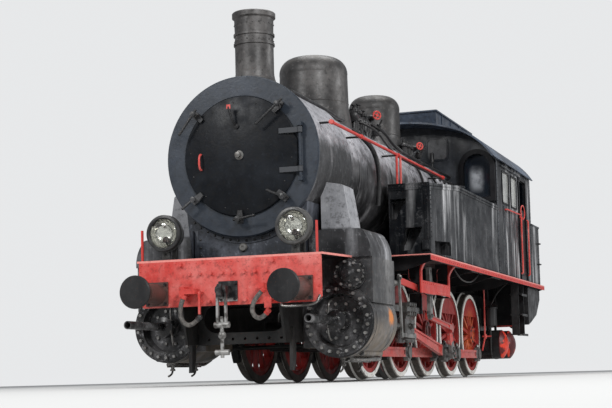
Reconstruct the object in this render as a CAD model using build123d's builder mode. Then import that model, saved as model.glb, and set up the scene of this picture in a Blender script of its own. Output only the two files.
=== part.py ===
from build123d import *
import os
from math import cos, radians, sin, sqrt, tan

# Steam tank locomotive with five coupled axles.
# +Z is up and the flange tips stand at Z = 0. The front faces -Y and +X is the left-hand side.
# The origin lies under the middle of the length over buffers. Sizes are in millimetres.
os.makedirs("parts", exist_ok=True)

# Overall sizes
length_over_buffers = 12660
buffer_projection = 590
side_plane = 1500
board_overhang = 50
board_half_width = side_plane + board_overhang
board_top = 1636
board_thickness = 16
fit_gap = 0.3
running_gap = 0.5
beam_face = length_over_buffers / 2 - buffer_projection

# Running gear
tread_radius = 675
flange_height = 28
axle_spacing = 1450
first_axle_y = -3050
axle_count = 5
driven_axle = 3
axle_radius = 95
axle_z = tread_radius + flange_height
tyre_back_x = 680
tyre_width = 140
tyre_thickness = 75
rim_depth = 55
spoke_count = 14
hub_radius = 150
hub_back_x = 655
hub_face_x = 838
rim_back_x = 690
rim_face_x = 808
spoke_plane_x = 750
balance_chord = 300
crank_radius = 330
crank_boss_radius = 125
pin_radius = 58
axle_ys = [first_axle_y + axle_spacing * n for n in range(axle_count)]
driven_y = axle_ys[driven_axle - 1]

# Rods and crossheads, by their distance from the middle of the locomotive
coupling_rod_x = 915
coupling_rod_thickness = 64
coupling_rod_height = 130
pin_boss_radius = 118
pin_cap_thickness = 12
pin_cap_gap = 6
driving_pin_gap = 7
cylinder_x = 1075
main_rod_thickness = 76
main_rod_length = 2150
big_end_radius = 135
small_end_radius = 88
crosshead_pin_radius = 48
crosshead_length = 440
cheek_drop = 215
cheek_thickness = 40
cheek_gap = 6
slide_bar_width = 120
slide_bar_height = 80
slide_bar_rise = 187
slide_bar_bottom = axle_z + slide_bar_rise
piston_rod_radius = 45
arm_ahead = 205
arm_z = 560
arm_end_x = 1250

# Cylinders and valve chests
cylinder_jacket_radius = 425
cylinder_front_y = -5050
cylinder_rear_y = -4110
jacket_side_x = 1480
jacket_top = 1430
valve_chest_x = 1230
valve_chest_rise = 529
valve_chest_z = axle_z + valve_chest_rise
valve_chest_radius = 182
valve_front_y = -5056
valve_rear_y = -4050
front_cover_radius = 410
rear_cover_radius = 340
cover_recess_radius = 330
cover_recess = 130
casing_top = 1758
casing_rear_y = -4200

# Frames and buffer beams
frame_x = 600
frame_thickness = 30
frame_bottom = 570
frame_nose_bottom = 470
frame_nose_front = -5560
frame_nose_rear = -5000
guard_iron_y = -5350
frame_top = 1421
beam_thickness = 40
beam_half_width = 1106
beam_bottom = 900
beam_top = frame_top
beam_chamfer = 55
deck_half_width = 1130
deck_rear_half_width = 1250
deck_thickness = 24
deck_top = frame_top + deck_thickness
deck_rear_y = cylinder_front_y
board_front_y = -2600
buffer_x = 875
buffer_z = 1055
buffer_plate_half = 137
buffer_head_radius = 186
buffer_head_thickness = 26
hook_half = 30
hook_shank_half = 60

# Boiler
boiler_z = 2659
smokebox_radius = 930
smokebox_ring_radius = 952
smokebox_front_y = -5254
smokebox_rear_y = -3950
smokebox_shell = 20
ring_thickness = 40
door_radius = 712
door_hole_radius = 650
door_dome = 80
barrel_radius = 860
firebox_front_y = 700
backhead_y = 2350
firebox_bottom = 1250
firebox_half_width = 820
chimney_y = -4780
chimney_top = 4463
chimney_radius = 228
chimney_bore = 190
steam_dome_y = -2614
steam_dome_radius = 466
steam_dome_top = 4370
sand_dome_y = 210
sand_dome_radius = 395
sand_dome_top = 4340

# Headlamp fronts and backs
lamp_front_y = -5741
lamp_back_y = -5440

# Tanks, cab and bunker
tank_front_y = -2400
tank_inner_x = 940
tank_front_top = 2590
tank_top = 2745
tank_slope_end_y = -750
cab_front_y = 2000
cab_rear_y = 4884
cab_wall = 30
cab_floor_top = 1720
cab_side_top = 3530
roof_front_y = 1530
roof_rear_y = 4910
roof_crown = 4150
roof_shoulder_x = 960
roof_shoulder_z = 3990
roof_edge_x = 1560
roof_edge_z = 3500
roof_thickness = 30
ventilator_half = 590
ventilator_top = 4330
bunker_rear_y = 5620
bunker_top = 2715
door_front_y = 3790
door_rear_y = 4330
door_top = 2880
doorway_top = 3384
door_sill = cab_floor_top + 10


def block(x, y, z, mode=Mode.ADD):
    """Add a rectangular block between pairs of x, y and z."""
    with Locations(((x[0] + x[1]) / 2, (y[0] + y[1]) / 2, (z[0] + z[1]) / 2)):
        Box(abs(x[1] - x[0]), abs(y[1] - y[0]), abs(z[1] - z[0]), mode=mode)


def disc_x(x, y, z, radius, mode=Mode.ADD):
    """Add a disc between a pair of x about the crosswise line at y, z."""
    with BuildSketch(Plane.YZ.offset(x[0])) as outline:
        with Locations((y, z)):
            Circle(radius)
    extrude(outline.sketch, amount=x[1] - x[0], mode=mode)


def disc_y(y, x, z, radius, mode=Mode.ADD):
    """Add a disc between a pair of y about the lengthwise line at x, z."""
    with BuildSketch(Plane.XZ.offset(-y[0])) as outline:
        with Locations((x, z)):
            Circle(radius)
    extrude(outline.sketch, amount=y[0] - y[1], mode=mode)


def disc_z(z, x, y, radius, mode=Mode.ADD):
    """Add a disc between a pair of z about the upright line at x, y."""
    with BuildSketch(Plane.XY.offset(z[0])) as outline:
        with Locations((x, y)):
            Circle(radius)
    extrude(outline.sketch, amount=z[1] - z[0], mode=mode)


def side_plate(x, points, mode=Mode.ADD):
    """Add a plate between a pair of x with an outline of y, z points."""
    with BuildSketch(Plane.YZ.offset(x[0])) as outline:
        with BuildLine():
            Polyline(*points, close=True)
        make_face()
    extrude(outline.sketch, amount=x[1] - x[0], mode=mode)


def cross_plate(y, points, mode=Mode.ADD):
    """Add a plate between a pair of y with an outline of x, z points."""
    with BuildSketch(Plane.XZ.offset(-y[0])) as outline:
        with BuildLine():
            Polyline(*points, close=True)
        make_face()
    extrude(outline.sketch, amount=y[0] - y[1], mode=mode)


def slanted_bar(x, start, end, halves, mode=Mode.ADD):
    """Add a flat bar between a pair of x, from one y, z point to another, by its half heights."""
    run = Vector(end[0] - start[0], end[1] - start[1], 0).normalized()
    across = Vector(-run.Y, run.X, 0)
    first, last = Vector(start[0], start[1], 0), Vector(end[0], end[1], 0)
    with BuildSketch(Plane.YZ.offset(x[0])) as outline:
        with BuildLine():
            Polyline(
                first + across * halves[0],
                last + across * halves[1],
                last - across * halves[1],
                first - across * halves[0],
                close=True,
            )
        make_face()
    extrude(outline.sketch, amount=x[1] - x[0], mode=mode)


def tube(points, radius, bend=None):
    """Add a round bar along straight runs, with bends of one radius."""
    with BuildLine() as path:
        if bend:
            FilletPolyline(*points, radius=bend)
        else:
            Polyline(*points)
    with BuildSketch(Plane(origin=path.line @ 0, z_dir=path.line % 0)) as section:
        Circle(radius)
    sweep(section.sketch, path=path.line)


# Each side gives its sign along X and its crank's direction in the Y, Z plane
sides = (
    ("left", 1, (0, -1)),
    ("right", -1, (1, 0)),
)
rim_outer = tread_radius - tyre_thickness
rim_inner = rim_outer - rim_depth
boss_face_x = coupling_rod_x - coupling_rod_thickness / 2 - 12
cap_x = coupling_rod_x + coupling_rod_thickness / 2 + pin_cap_gap
main_inner = cylinder_x - main_rod_thickness / 2
main_outer = cylinder_x + main_rod_thickness / 2

# Spoked wheel about the origin: spokes cut from a cone that is thicker at the hub
with BuildPart() as spokes:
    with BuildSketch(Plane.YZ) as spoke_outlines:
        with PolarLocations(0, spoke_count, start_angle=180 / spoke_count):
            Polygon(
                (hub_radius - 30, 30),
                (rim_inner + 8, 19),
                (rim_inner + 8, -19),
                (hub_radius - 30, -30),
                align=None,
            )
    extrude(amount=tyre_back_x + tyre_width)
    with BuildSketch(Plane.XY) as spoke_depth:
        with BuildLine():
            Polyline(
                (spoke_plane_x - 50, 0),
                (spoke_plane_x - 46, hub_radius),
                (spoke_plane_x - 28, rim_inner + 8),
                (spoke_plane_x + 28, rim_inner + 8),
                (spoke_plane_x + 46, hub_radius),
                (spoke_plane_x + 50, 0),
                close=True,
            )
        make_face()
    revolve(axis=Axis.X, mode=Mode.INTERSECT)

# The axle ends flush with the hubs that it is pressed into
with BuildPart() as axle:
    disc_x((-hub_face_x, hub_face_x), 0, 0, axle_radius)

with BuildPart() as wheel_pair:
    for side, sign, (crank_y, crank_z) in sides:
        with BuildSketch(Plane.YZ.offset(sign * rim_back_x)) as rim:
            Circle(rim_outer - fit_gap)
            Circle(rim_inner, mode=Mode.SUBTRACT)
        extrude(amount=sign * (rim_face_x - rim_back_x))
        add(spokes.part if sign > 0 else mirror(spokes.part, about=Plane.YZ, mode=Mode.PRIVATE))
        disc_x((sign * hub_back_x, sign * hub_face_x), 0, 0, hub_radius)
        # Crank boss, crank pin and cap, and the balance weight opposite them
        pin_y, pin_z = crank_radius * crank_y, crank_radius * crank_z
        disc_x((sign * rim_back_x, sign * boss_face_x), pin_y, pin_z, crank_boss_radius)
        disc_x((sign * boss_face_x, sign * cap_x), pin_y, pin_z, pin_radius)
        disc_x((sign * cap_x, sign * (cap_x + pin_cap_thickness)), pin_y, pin_z, pin_radius + 26)
        with BuildSketch(Plane.YZ.offset(sign * rim_back_x)) as weight:
            Circle(rim_inner + 8)
            far = balance_chord + rim_inner
            with Locations((-crank_y * far, -crank_z * far)):
                Rectangle(2 * rim_inner, 2 * rim_inner, mode=Mode.INTERSECT)
        extrude(amount=sign * (rim_face_x - rim_back_x - 6))
    disc_x((-hub_face_x, hub_face_x), 0, 0, axle_radius + fit_gap, mode=Mode.SUBTRACT)

with BuildPart() as tyre_pair:
    with BuildSketch(Plane.XY) as tyre_section:
        with BuildLine():
            Polyline(
                (tyre_back_x, rim_outer),
                (tyre_back_x, tread_radius + flange_height - 8),
                (tyre_back_x + 8, tread_radius + flange_height),
                (tyre_back_x + 22, tread_radius + flange_height),
                (tyre_back_x + 38, tread_radius + 4),
                (tyre_back_x + tyre_width - 12, tread_radius - 4),
                (tyre_back_x + tyre_width, tread_radius - 16),
                (tyre_back_x + tyre_width, rim_outer),
                close=True,
            )
        make_face()
    revolve(axis=Axis.X)
    mirror(about=Plane.YZ)

for number, axle_y in enumerate(axle_ys, start=1):
    with BuildPart() as wheel_centres:
        with Locations((0, axle_y, axle_z)):
            add(wheel_pair.part)
            add(axle.part)
        if number == driven_axle:
            # The driving pins reach on towards the main rods
            for side, sign, (crank_y, crank_z) in sides:
                disc_x(
                    (sign * cap_x, sign * (main_inner - driving_pin_gap)),
                    axle_y + crank_radius * crank_y,
                    axle_z + crank_radius * crank_z,
                    pin_radius,
                )
    wheel_centres.part.label = f"wheel_centres_{number}"
    export_step(wheel_centres.part, f"parts/wheel_centres_{number}.step")

    with BuildPart() as tyres:
        with Locations((0, axle_y, axle_z)):
            add(tyre_pair.part)
    tyres.part.label = f"tyres_{number}"
    export_step(tyres.part, f"parts/tyres_{number}.step")

# Coupling rods: one bar a side along all five crank pins, with a boss at each
for side, sign, (crank_y, crank_z) in sides:
    rod_inner = coupling_rod_x - coupling_rod_thickness / 2
    rod_outer = coupling_rod_x + coupling_rod_thickness / 2
    rod_z = axle_z + crank_radius * crank_z
    rod_ys = [y + crank_radius * crank_y for y in axle_ys]
    with BuildPart() as coupling_rod:
        block(
            (sign * (rod_inner + 8), sign * (rod_outer - 8)),
            (rod_ys[0], rod_ys[-1]),
            (rod_z - coupling_rod_height / 2, rod_z + coupling_rod_height / 2),
        )
        for y in rod_ys:
            disc_x((sign * rod_inner, sign * rod_outer), y, rod_z, pin_boss_radius)
        # Flute along the outer face of each bar
        for y in rod_ys[:-1]:
            block(
                (sign * (rod_outer - 24), sign * rod_outer),
                (y + pin_boss_radius + 60, y + axle_spacing - pin_boss_radius - 60),
                (rod_z - 32, rod_z + 32),
                mode=Mode.SUBTRACT,
            )
        for y in rod_ys:
            disc_x(
                (sign * (rod_inner - 1), sign * (rod_outer + 1)),
                y,
                rod_z,
                pin_radius + running_gap,
                mode=Mode.SUBTRACT,
            )
    coupling_rod.part.label = f"coupling_rod_{side}"
    export_step(coupling_rod.part, f"parts/coupling_rod_{side}.step")

# Main rods, opened from the crank pin, each with the return crank on its big end
return_crank_seat = 60
return_crank_thickness = 46
return_crank_radius = 165
return_crank_lift = 25
rod_front_half = 52
rod_rear_half = 78
rod_flute_depth = 16
# The piston rod ends this far behind the front cover when the crosshead is fully forward
piston_rod_room = 10
piston_rod_reach = driven_y - main_rod_length - crank_radius
piston_rod_reach -= cylinder_front_y + cover_recess + piston_rod_room


def return_crank_tip(crank_z):
    """Give the rest place of a return crank's pin, a quarter turn behind its crank."""
    if crank_z:
        return driven_y - return_crank_radius, axle_z + return_crank_lift
    return driven_y, axle_z + return_crank_radius


for side, sign, (crank_y, crank_z) in sides:
    pin_y, pin_z = driven_y + crank_radius * crank_y, axle_z + crank_radius * crank_z
    crosshead_y = pin_y - sqrt(main_rod_length**2 - (pin_z - axle_z) ** 2)
    slope = (pin_z - axle_z) / (pin_y - crosshead_y)
    with BuildPart() as main_rod:
        slanted_bar(
            (sign * (main_inner + 10), sign * (main_outer - 10)),
            (crosshead_y, axle_z),
            (pin_y, pin_z),
            (rod_front_half, rod_rear_half),
        )
        # Flute along the outer face
        flute_front, flute_rear = crosshead_y + 230, pin_y - 270
        slanted_bar(
            (sign * (main_outer - 10 - rod_flute_depth), sign * (main_outer - 9)),
            (flute_front, axle_z + slope * (flute_front - crosshead_y)),
            (flute_rear, axle_z + slope * (flute_rear - crosshead_y)),
            (rod_front_half - 24, rod_rear_half - 30),
            mode=Mode.SUBTRACT,
        )
        disc_x((sign * main_inner, sign * main_outer), crosshead_y, axle_z, small_end_radius)
        disc_x((sign * main_inner, sign * main_outer), pin_y, pin_z, big_end_radius)
        disc_x(
            (sign * (main_inner - 1), sign * (main_outer + 1)),
            crosshead_y,
            axle_z,
            crosshead_pin_radius + running_gap,
            mode=Mode.SUBTRACT,
        )
        # Outer end of the crank pin and the return crank
        disc_x((sign * main_outer, sign * (main_outer + return_crank_seat)), pin_y, pin_z, 82)
        with BuildSketch(Plane.YZ.offset(sign * (main_outer + return_crank_seat))) as return_crank:
            with Locations((pin_y, pin_z)):
                Circle(95)
            with Locations(return_crank_tip(crank_z)):
                Circle(62)
            make_hull()
        extrude(return_crank.sketch, amount=sign * return_crank_thickness)
    main_rod.part.label = f"main_rod_{side}"
    export_step(main_rod.part, f"parts/main_rod_{side}.step")

    # Crosshead: slipper round the slide bar, two deep cheeks, pin and piston rod
    with BuildPart() as crosshead:
        front, rear = crosshead_y - crosshead_length / 2, crosshead_y + crosshead_length / 2
        bar_top = slide_bar_bottom + slide_bar_height
        cheek_inner = main_rod_thickness / 2 + cheek_gap
        cheek_outer = cheek_inner + cheek_thickness
        block(
            (sign * (cylinder_x - 100), sign * (cylinder_x + 100)),
            (front, rear),
            (slide_bar_bottom - 45, bar_top + 45),
        )
        bar_room = slide_bar_width / 2 + running_gap
        block(
            (sign * (cylinder_x - bar_room), sign * (cylinder_x + bar_room)),
            (front - 1, rear + 1),
            (slide_bar_bottom - running_gap, bar_top + running_gap),
            mode=Mode.SUBTRACT,
        )
        for edge in (-1, 1):
            inner_x = sign * (cylinder_x + edge * cheek_inner)
            outer_x = sign * (cylinder_x + edge * cheek_outer)
            with BuildSketch(Plane.YZ.offset(inner_x)) as cheek:
                for corner_y, corner_z, corner in (
                    (front + 30, slide_bar_bottom - 75, 30),
                    (rear - 30, slide_bar_bottom - 75, 30),
                    (front + 110, axle_z - cheek_drop + 70, 70),
                    (rear - 110, axle_z - cheek_drop + 70, 70),
                ):
                    with Locations((corner_y, corner_z)):
                        Circle(corner)
                make_hull()
            extrude(cheek.sketch, amount=outer_x - inner_x)
            block((inner_x, outer_x), (front, rear), (slide_bar_bottom - 90, slide_bar_bottom - 45))
        block(
            (sign * (cylinder_x - cheek_outer), sign * (cylinder_x + cheek_outer)),
            (front - 40, front + 60),
            (axle_z - 95, axle_z + 95),
        )
        pin_reach = cheek_outer + 14
        # Arm towards the union link of the valve gear
        disc_x(
            (sign * (cylinder_x + cheek_inner), sign * arm_end_x),
            crosshead_y - arm_ahead,
            arm_z,
            30,
        )
        block(
            (sign * (cylinder_x + cheek_inner), sign * (cylinder_x + cheek_outer)),
            (crosshead_y - arm_ahead - 40, crosshead_y),
            (arm_z - 40, arm_z + 40),
        )
        disc_x(
            (sign * (cylinder_x - pin_reach), sign * (cylinder_x + pin_reach)),
            crosshead_y,
            axle_z,
            crosshead_pin_radius,
        )
        disc_y(
            (crosshead_y - piston_rod_reach, front - 40), sign * cylinder_x, axle_z, piston_rod_radius
        )
    crosshead.part.label = f"crosshead_{side}"
    export_step(crosshead.part, f"parts/crosshead_{side}.step")

# Cylinders with their valve chests, cast on a flange that bolts to the frame
with BuildPart() as cylinders:
    for side, sign, crank in sides:
        disc_y((cylinder_front_y, cylinder_rear_y), sign * cylinder_x, axle_z, cylinder_jacket_radius)
        block(
            (sign * (frame_x + frame_thickness / 2), sign * cylinder_x),
            (cylinder_front_y + 60, cylinder_rear_y - 60),
            (axle_z - 300, frame_top),
        )
        # Plated box between the cylinder and the casing over it
        block(
            (sign * 800, sign * jacket_side_x),
            (cylinder_front_y + 40, cylinder_rear_y),
            (axle_z + 200, jacket_top),
        )
        disc_y((valve_front_y, valve_rear_y), sign * valve_chest_x, valve_chest_z, valve_chest_radius)
        disc_y(
            (cylinder_front_y - 1, cylinder_front_y + cover_recess),
            sign * cylinder_x,
            axle_z,
            cover_recess_radius,
            mode=Mode.SUBTRACT,
        )
        disc_y(
            (cylinder_front_y, cylinder_rear_y + 1),
            sign * cylinder_x,
            axle_z,
            piston_rod_radius + running_gap,
            mode=Mode.SUBTRACT,
        )
        # Drain pipe along the bottom
        disc_y((cylinder_front_y + 160, cylinder_rear_y - 10), sign * 1285, axle_z - 375, 30)
cylinders.part.label = "cylinders"
export_step(cylinders.part, "parts/cylinders.step")

# Turned covers, each as radius and distance out from its end face, on the axis of its bore
front_cover_profile = (
    (0, -cover_recess + 2), (300, -118), (318, -60), (322, 0), (front_cover_radius, 0),
    (front_cover_radius, 38), (312, 38), (300, -45), (285, -96), (125, -104), (118, -90),
    (118, 40), (132, 40), (132, 70), (84, 70), (84, 96), (120, 96), (120, 132), (66, 150),
    (47, 160), (47, 1060), (36, 1060), (36, 760), (0, 760),
)
valve_cover_profile = (
    (0, 0), (186, 0), (186, 28), (130, 28), (130, 72), (165, 72), (165, 104), (110, 112),
    (92, 135), (45, 150), (45, 205), (0, 205),
)
bore_radius = piston_rod_radius + running_gap
rear_cover_profile = (
    (bore_radius, 0), (rear_cover_radius, 0), (rear_cover_radius, 35), (300, 35), (295, 60),
    (170, 60), (110, 80), (100, 190), (bore_radius, 190),
)
cover_places = (
    (front_cover_profile, cylinder_x, axle_z, cylinder_front_y, -1),
    (rear_cover_profile, cylinder_x, axle_z, cylinder_rear_y, 1),
    (valve_cover_profile, valve_chest_x, valve_chest_z, valve_front_y, -1),
)
with BuildPart() as cylinder_covers:
    for side, sign, crank in sides:
        for profile, x, z, face_y, out in cover_places:
            if profile is valve_cover_profile:
                # The cylinder cover's flange is cut back round the valve chest
                disc_y(
                    (cylinder_front_y - 40, cylinder_front_y + 1),
                    sign * x,
                    z,
                    valve_chest_radius + 12,
                    mode=Mode.SUBTRACT,
                )
            with BuildSketch(Plane.XY.offset(z)) as cover_section:
                with BuildLine():
                    Polyline(
                        *[(sign * (x + radius), face_y + out * away) for radius, away in profile],
                        close=True,
                    )
                make_face()
            revolve(cover_section.sketch, axis=Axis((sign * x, 0, z), (0, 1, 0)))
cylinder_covers.part.label = "cylinder_covers"
export_step(cylinder_covers.part, "parts/cylinder_covers.step")

# Frame plates with a slot for each axlebox
slot_half = 130
slot_top = axle_z + 190
with BuildPart() as main_frames:
    with BuildSketch(Plane.YZ.offset(frame_x - frame_thickness / 2)) as frame_outline:
        with BuildLine():
            Polyline(
                (beam_thickness - beam_face, frame_top),
                (beam_face - beam_thickness, frame_top),
                (beam_face - beam_thickness, beam_bottom),
                (axle_ys[-1] + 700, 800),
                (axle_ys[-1] + 560, 800),
                (axle_ys[-1] + 420, frame_bottom),
                (axle_ys[0] - 620, frame_bottom),
                (frame_nose_rear, frame_nose_bottom),
                (frame_nose_front, frame_nose_bottom),
                (beam_thickness - beam_face, beam_bottom),
                close=True,
            )
        make_face()
        with Locations(*[(y, frame_bottom) for y in axle_ys]):
            Rectangle(2 * slot_half, 2 * (slot_top - frame_bottom), mode=Mode.SUBTRACT)
        with Locations(*[(y + axle_spacing / 2, axle_z + 120) for y in axle_ys[:-1]]):
            SlotOverall(620, 300, mode=Mode.SUBTRACT)
    extrude(amount=frame_thickness)
    # Guard irons ahead of the leading wheels
    side_plate(
        (frame_x, frame_x + 40),
        (
            (guard_iron_y - 50, frame_nose_bottom + 170),
            (guard_iron_y + 50, frame_nose_bottom + 170),
            (guard_iron_y + 40, 300),
            (guard_iron_y - 20, 150),
            (guard_iron_y - 80, 150),
        ),
    )
    mirror(about=Plane.YZ)
main_frames.part.label = "main_frames"
export_step(main_frames.part, "parts/main_frames.step")

with BuildPart() as axleboxes:
    for axle_y in axle_ys:
        block(
            (frame_x - 40, hub_back_x - 10),
            (axle_y - slot_half + fit_gap, axle_y + slot_half - fit_gap),
            (frame_bottom + 10, slot_top - 40),
        )
        disc_x(
            (frame_x - 41, hub_back_x - 9),
            axle_y,
            axle_z,
            axle_radius + running_gap,
            mode=Mode.SUBTRACT,
        )
    mirror(about=Plane.YZ)
axleboxes.part.label = "axleboxes"
export_step(axleboxes.part, "parts/axleboxes.step")

# Cross plates between the frame plates, each with an oval hole
stretcher_half = frame_x - frame_thickness / 2
front_stretcher_y = -5250
stretcher_ys = [-4860, -4300, *[y + axle_spacing / 2 for y in axle_ys[:-2]], 3500, 4640, 5300]
with BuildPart() as frame_stretchers:
    # Deep front plate with its large hole and a row of small ones below
    with BuildSketch(Plane.XZ.offset(-front_stretcher_y)) as stretcher:
        with Locations((0, (frame_nose_bottom + frame_top) / 2)):
            Rectangle(2 * stretcher_half, frame_top - frame_nose_bottom)
        with Locations((0, 770)):
            SlotOverall(1020, 330, mode=Mode.SUBTRACT)
        with GridLocations(150, 1, 7, 1):
            with Locations((0, frame_nose_bottom + 60)):
                Circle(18, mode=Mode.SUBTRACT)
    extrude(stretcher.sketch, amount=20)
    for y in stretcher_ys:
        low = 930 if abs(y) > 3400 else frame_bottom + 120
        with BuildSketch(Plane.XZ.offset(-y)) as stretcher:
            with Locations((0, (low + frame_top) / 2)):
                Rectangle(2 * stretcher_half, frame_top - low)
                SlotOverall(700, 240, mode=Mode.SUBTRACT)
        extrude(stretcher.sketch, amount=20)
frame_stretchers.part.label = "frame_stretchers"
export_step(frame_stretchers.part, "parts/frame_stretchers.step")

# Buffer beams, the front deck and the running boards
ends = (-1, 1)
with BuildPart() as buffer_beams:
    for end in ends:
        cross_plate(
            (end * (beam_face - beam_thickness), end * beam_face),
            (
                (-beam_half_width, beam_top),
                (beam_half_width, beam_top),
                (beam_half_width, beam_bottom + beam_chamfer),
                (beam_half_width - beam_chamfer, beam_bottom),
                (beam_chamfer - beam_half_width, beam_bottom),
                (-beam_half_width, beam_bottom + beam_chamfer),
            ),
        )
        with BuildSketch(Plane.XZ.offset(-end * beam_face)) as hook_slot:
            with Locations((0, buffer_z)):
                Rectangle(2 * (hook_half + fit_gap), 2 * (hook_shank_half + fit_gap))
        extrude(hook_slot.sketch, amount=end * beam_thickness, mode=Mode.SUBTRACT)
buffer_beams.part.label = "buffer_beams"
export_step(buffer_beams.part, "parts/buffer_beams.step")

# Housing, gland, plunger and head, by radius and distance out from the beam
buffer_profile = (
    (0, 22),
    (120, 22),
    (105, 330),
    (112, 330),
    (112, 368),
    (72, 368),
    (72, buffer_projection - 50),
    (buffer_head_radius, buffer_projection - buffer_head_thickness),
    (buffer_head_radius, buffer_projection - 8),
    (buffer_head_radius - 14, buffer_projection),
    (0, buffer_projection),
)
with BuildPart() as buffers:
    for end in ends:
        for x in (-buffer_x, buffer_x):
            block(
                (x - buffer_plate_half, x + buffer_plate_half),
                (end * beam_face, end * (beam_face + 22)),
                (buffer_z - buffer_plate_half, buffer_z + buffer_plate_half),
            )
            with BuildSketch(Plane.XY.offset(buffer_z)) as buffer_section:
                with BuildLine():
                    Polyline(
                        *[(x + radius, end * (beam_face + out)) for radius, out in buffer_profile],
                        close=True,
                    )
                make_face()
            revolve(axis=Axis((x, 0, buffer_z), (0, 1, 0)))
buffers.part.label = "buffers"
export_step(buffers.part, "parts/buffers.step")

# Draw hooks, by distance out from the beam and height above the buffers' line
hook_points = (
    (-150, -hook_shank_half), (60, -hook_shank_half), (210, -95), (280, -60), (300, 20), (255, 70),
    (235, 60), (240, 0), (205, -25), (170, 0), (160, hook_shank_half), (-150, hook_shank_half),
)
link_out = 203
link_x = 50
link_drop = 385
# Cross pins and nuts of the screw coupling, by height below the buffers' line, half length, radius
coupling_pins = (
    (2, 64, 22),
    (link_drop, 88, 34),
    (690, 80, 32),
)
with BuildPart() as screw_couplings:
    for end in ends:
        side_plate(
            (-hook_half, hook_half),
            [(end * (beam_face + out), buffer_z + up) for out, up in hook_points],
        )
        # Square plate round the hook, against the beam
        block((-115, 115), (end * beam_face, end * (beam_face + 14)), (buffer_z - 115, buffer_z + 115))
        link_y = end * (beam_face + link_out)
        for x in (-link_x, link_x):
            disc_x((x - 13, x + 13), link_y, buffer_z + 5, 42)
            block((x - 13, x + 13), (link_y - 18, link_y + 18), (buffer_z - link_drop, buffer_z))
        for drop, half, radius in coupling_pins:
            disc_x((-half, half), link_y, buffer_z - drop, radius)
        # Screw with the weighted handle
        disc_z((buffer_z - 750, buffer_z - 290), 0, link_y, 21)
        with Locations((0, link_y, buffer_z - 500)):
            Sphere(46)
screw_couplings.part.label = "screw_couplings"
export_step(screw_couplings.part, "parts/screw_couplings.step")

saddle_front_y = -5150
saddle_rear_y = -4050
saddle_half = 700
saddle_flange_radius = 1012
with BuildPart() as front_deck:
    with BuildSketch(Plane.XY.offset(deck_top - deck_thickness)) as deck_outline:
        with BuildLine():
            Polyline(
                (-deck_half_width, -beam_face),
                (deck_half_width, -beam_face),
                (deck_rear_half_width, deck_rear_y),
                (-deck_rear_half_width, deck_rear_y),
                close=True,
            )
        make_face()
    extrude(deck_outline.sketch, amount=deck_thickness)
    block(
        (-saddle_half, saddle_half),
        (saddle_front_y, deck_rear_y + 1),
        (deck_top - deck_thickness - 1, deck_top + 1),
        mode=Mode.SUBTRACT,
    )
    # Lamp irons at the front corners
    for x in (-1065, 1065):
        block((x - 10, x + 10), (-beam_face, -beam_face + 30), (deck_top, 1800))
front_deck.part.label = "front_deck"
export_step(front_deck.part, "parts/front_deck.step")

board_bracket_ys = (-2440, -150, 1300, 2750, 4450, 5600)
with BuildPart() as running_boards:
    block(
        (frame_x - frame_thickness / 2, board_half_width),
        (board_front_y, beam_face),
        (board_top - board_thickness, board_top),
    )
    block(
        (board_half_width - 12, board_half_width),
        (board_front_y, beam_face),
        (board_top - 80, board_top - board_thickness),
    )
    # Brackets from the frame plates, clear of the wheels below them
    for y in board_bracket_ys:
        cross_plate(
            (y, y + 14),
            (
                (frame_x - frame_thickness / 2, frame_top),
                (frame_x + frame_thickness / 2, frame_top),
                (1150, frame_top + 20),
                (board_half_width - 12, board_top - 80),
                (board_half_width - 12, board_top - board_thickness),
                (frame_x - frame_thickness / 2, board_top - board_thickness),
            ),
        )
    mirror(about=Plane.YZ)
running_boards.part.label = "running_boards"
export_step(running_boards.part, "parts/running_boards.step")

# Boiler: saddle, smokebox, door, barrel, firebox
with BuildPart() as smokebox_saddle:
    cross_plate(
        (saddle_front_y, saddle_rear_y),
        (
            (-saddle_half, frame_top),
            (saddle_half, frame_top),
            (saddle_half, frame_top + 60),
            (saddle_half + 60, boiler_z - 560),
            (-saddle_half - 60, boiler_z - 560),
            (-saddle_half, frame_top + 60),
        ),
    )
    # Riveted flange round the foot of the smokebox
    with BuildSketch(Plane.XZ.offset(-saddle_front_y)) as flange_outline:
        with Locations((0, boiler_z)):
            Circle(saddle_flange_radius)
        with Locations((0, boiler_z - saddle_flange_radius)):
            Rectangle(2 * saddle_half, 700, mode=Mode.INTERSECT)
    extrude(flange_outline.sketch, amount=14)
    disc_y(
        (saddle_front_y - 20, saddle_rear_y + 1),
        0,
        boiler_z,
        smokebox_radius + fit_gap,
        mode=Mode.SUBTRACT,
    )
smokebox_saddle.part.label = "smokebox_saddle"
export_step(smokebox_saddle.part, "parts/smokebox_saddle.step")

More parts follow.
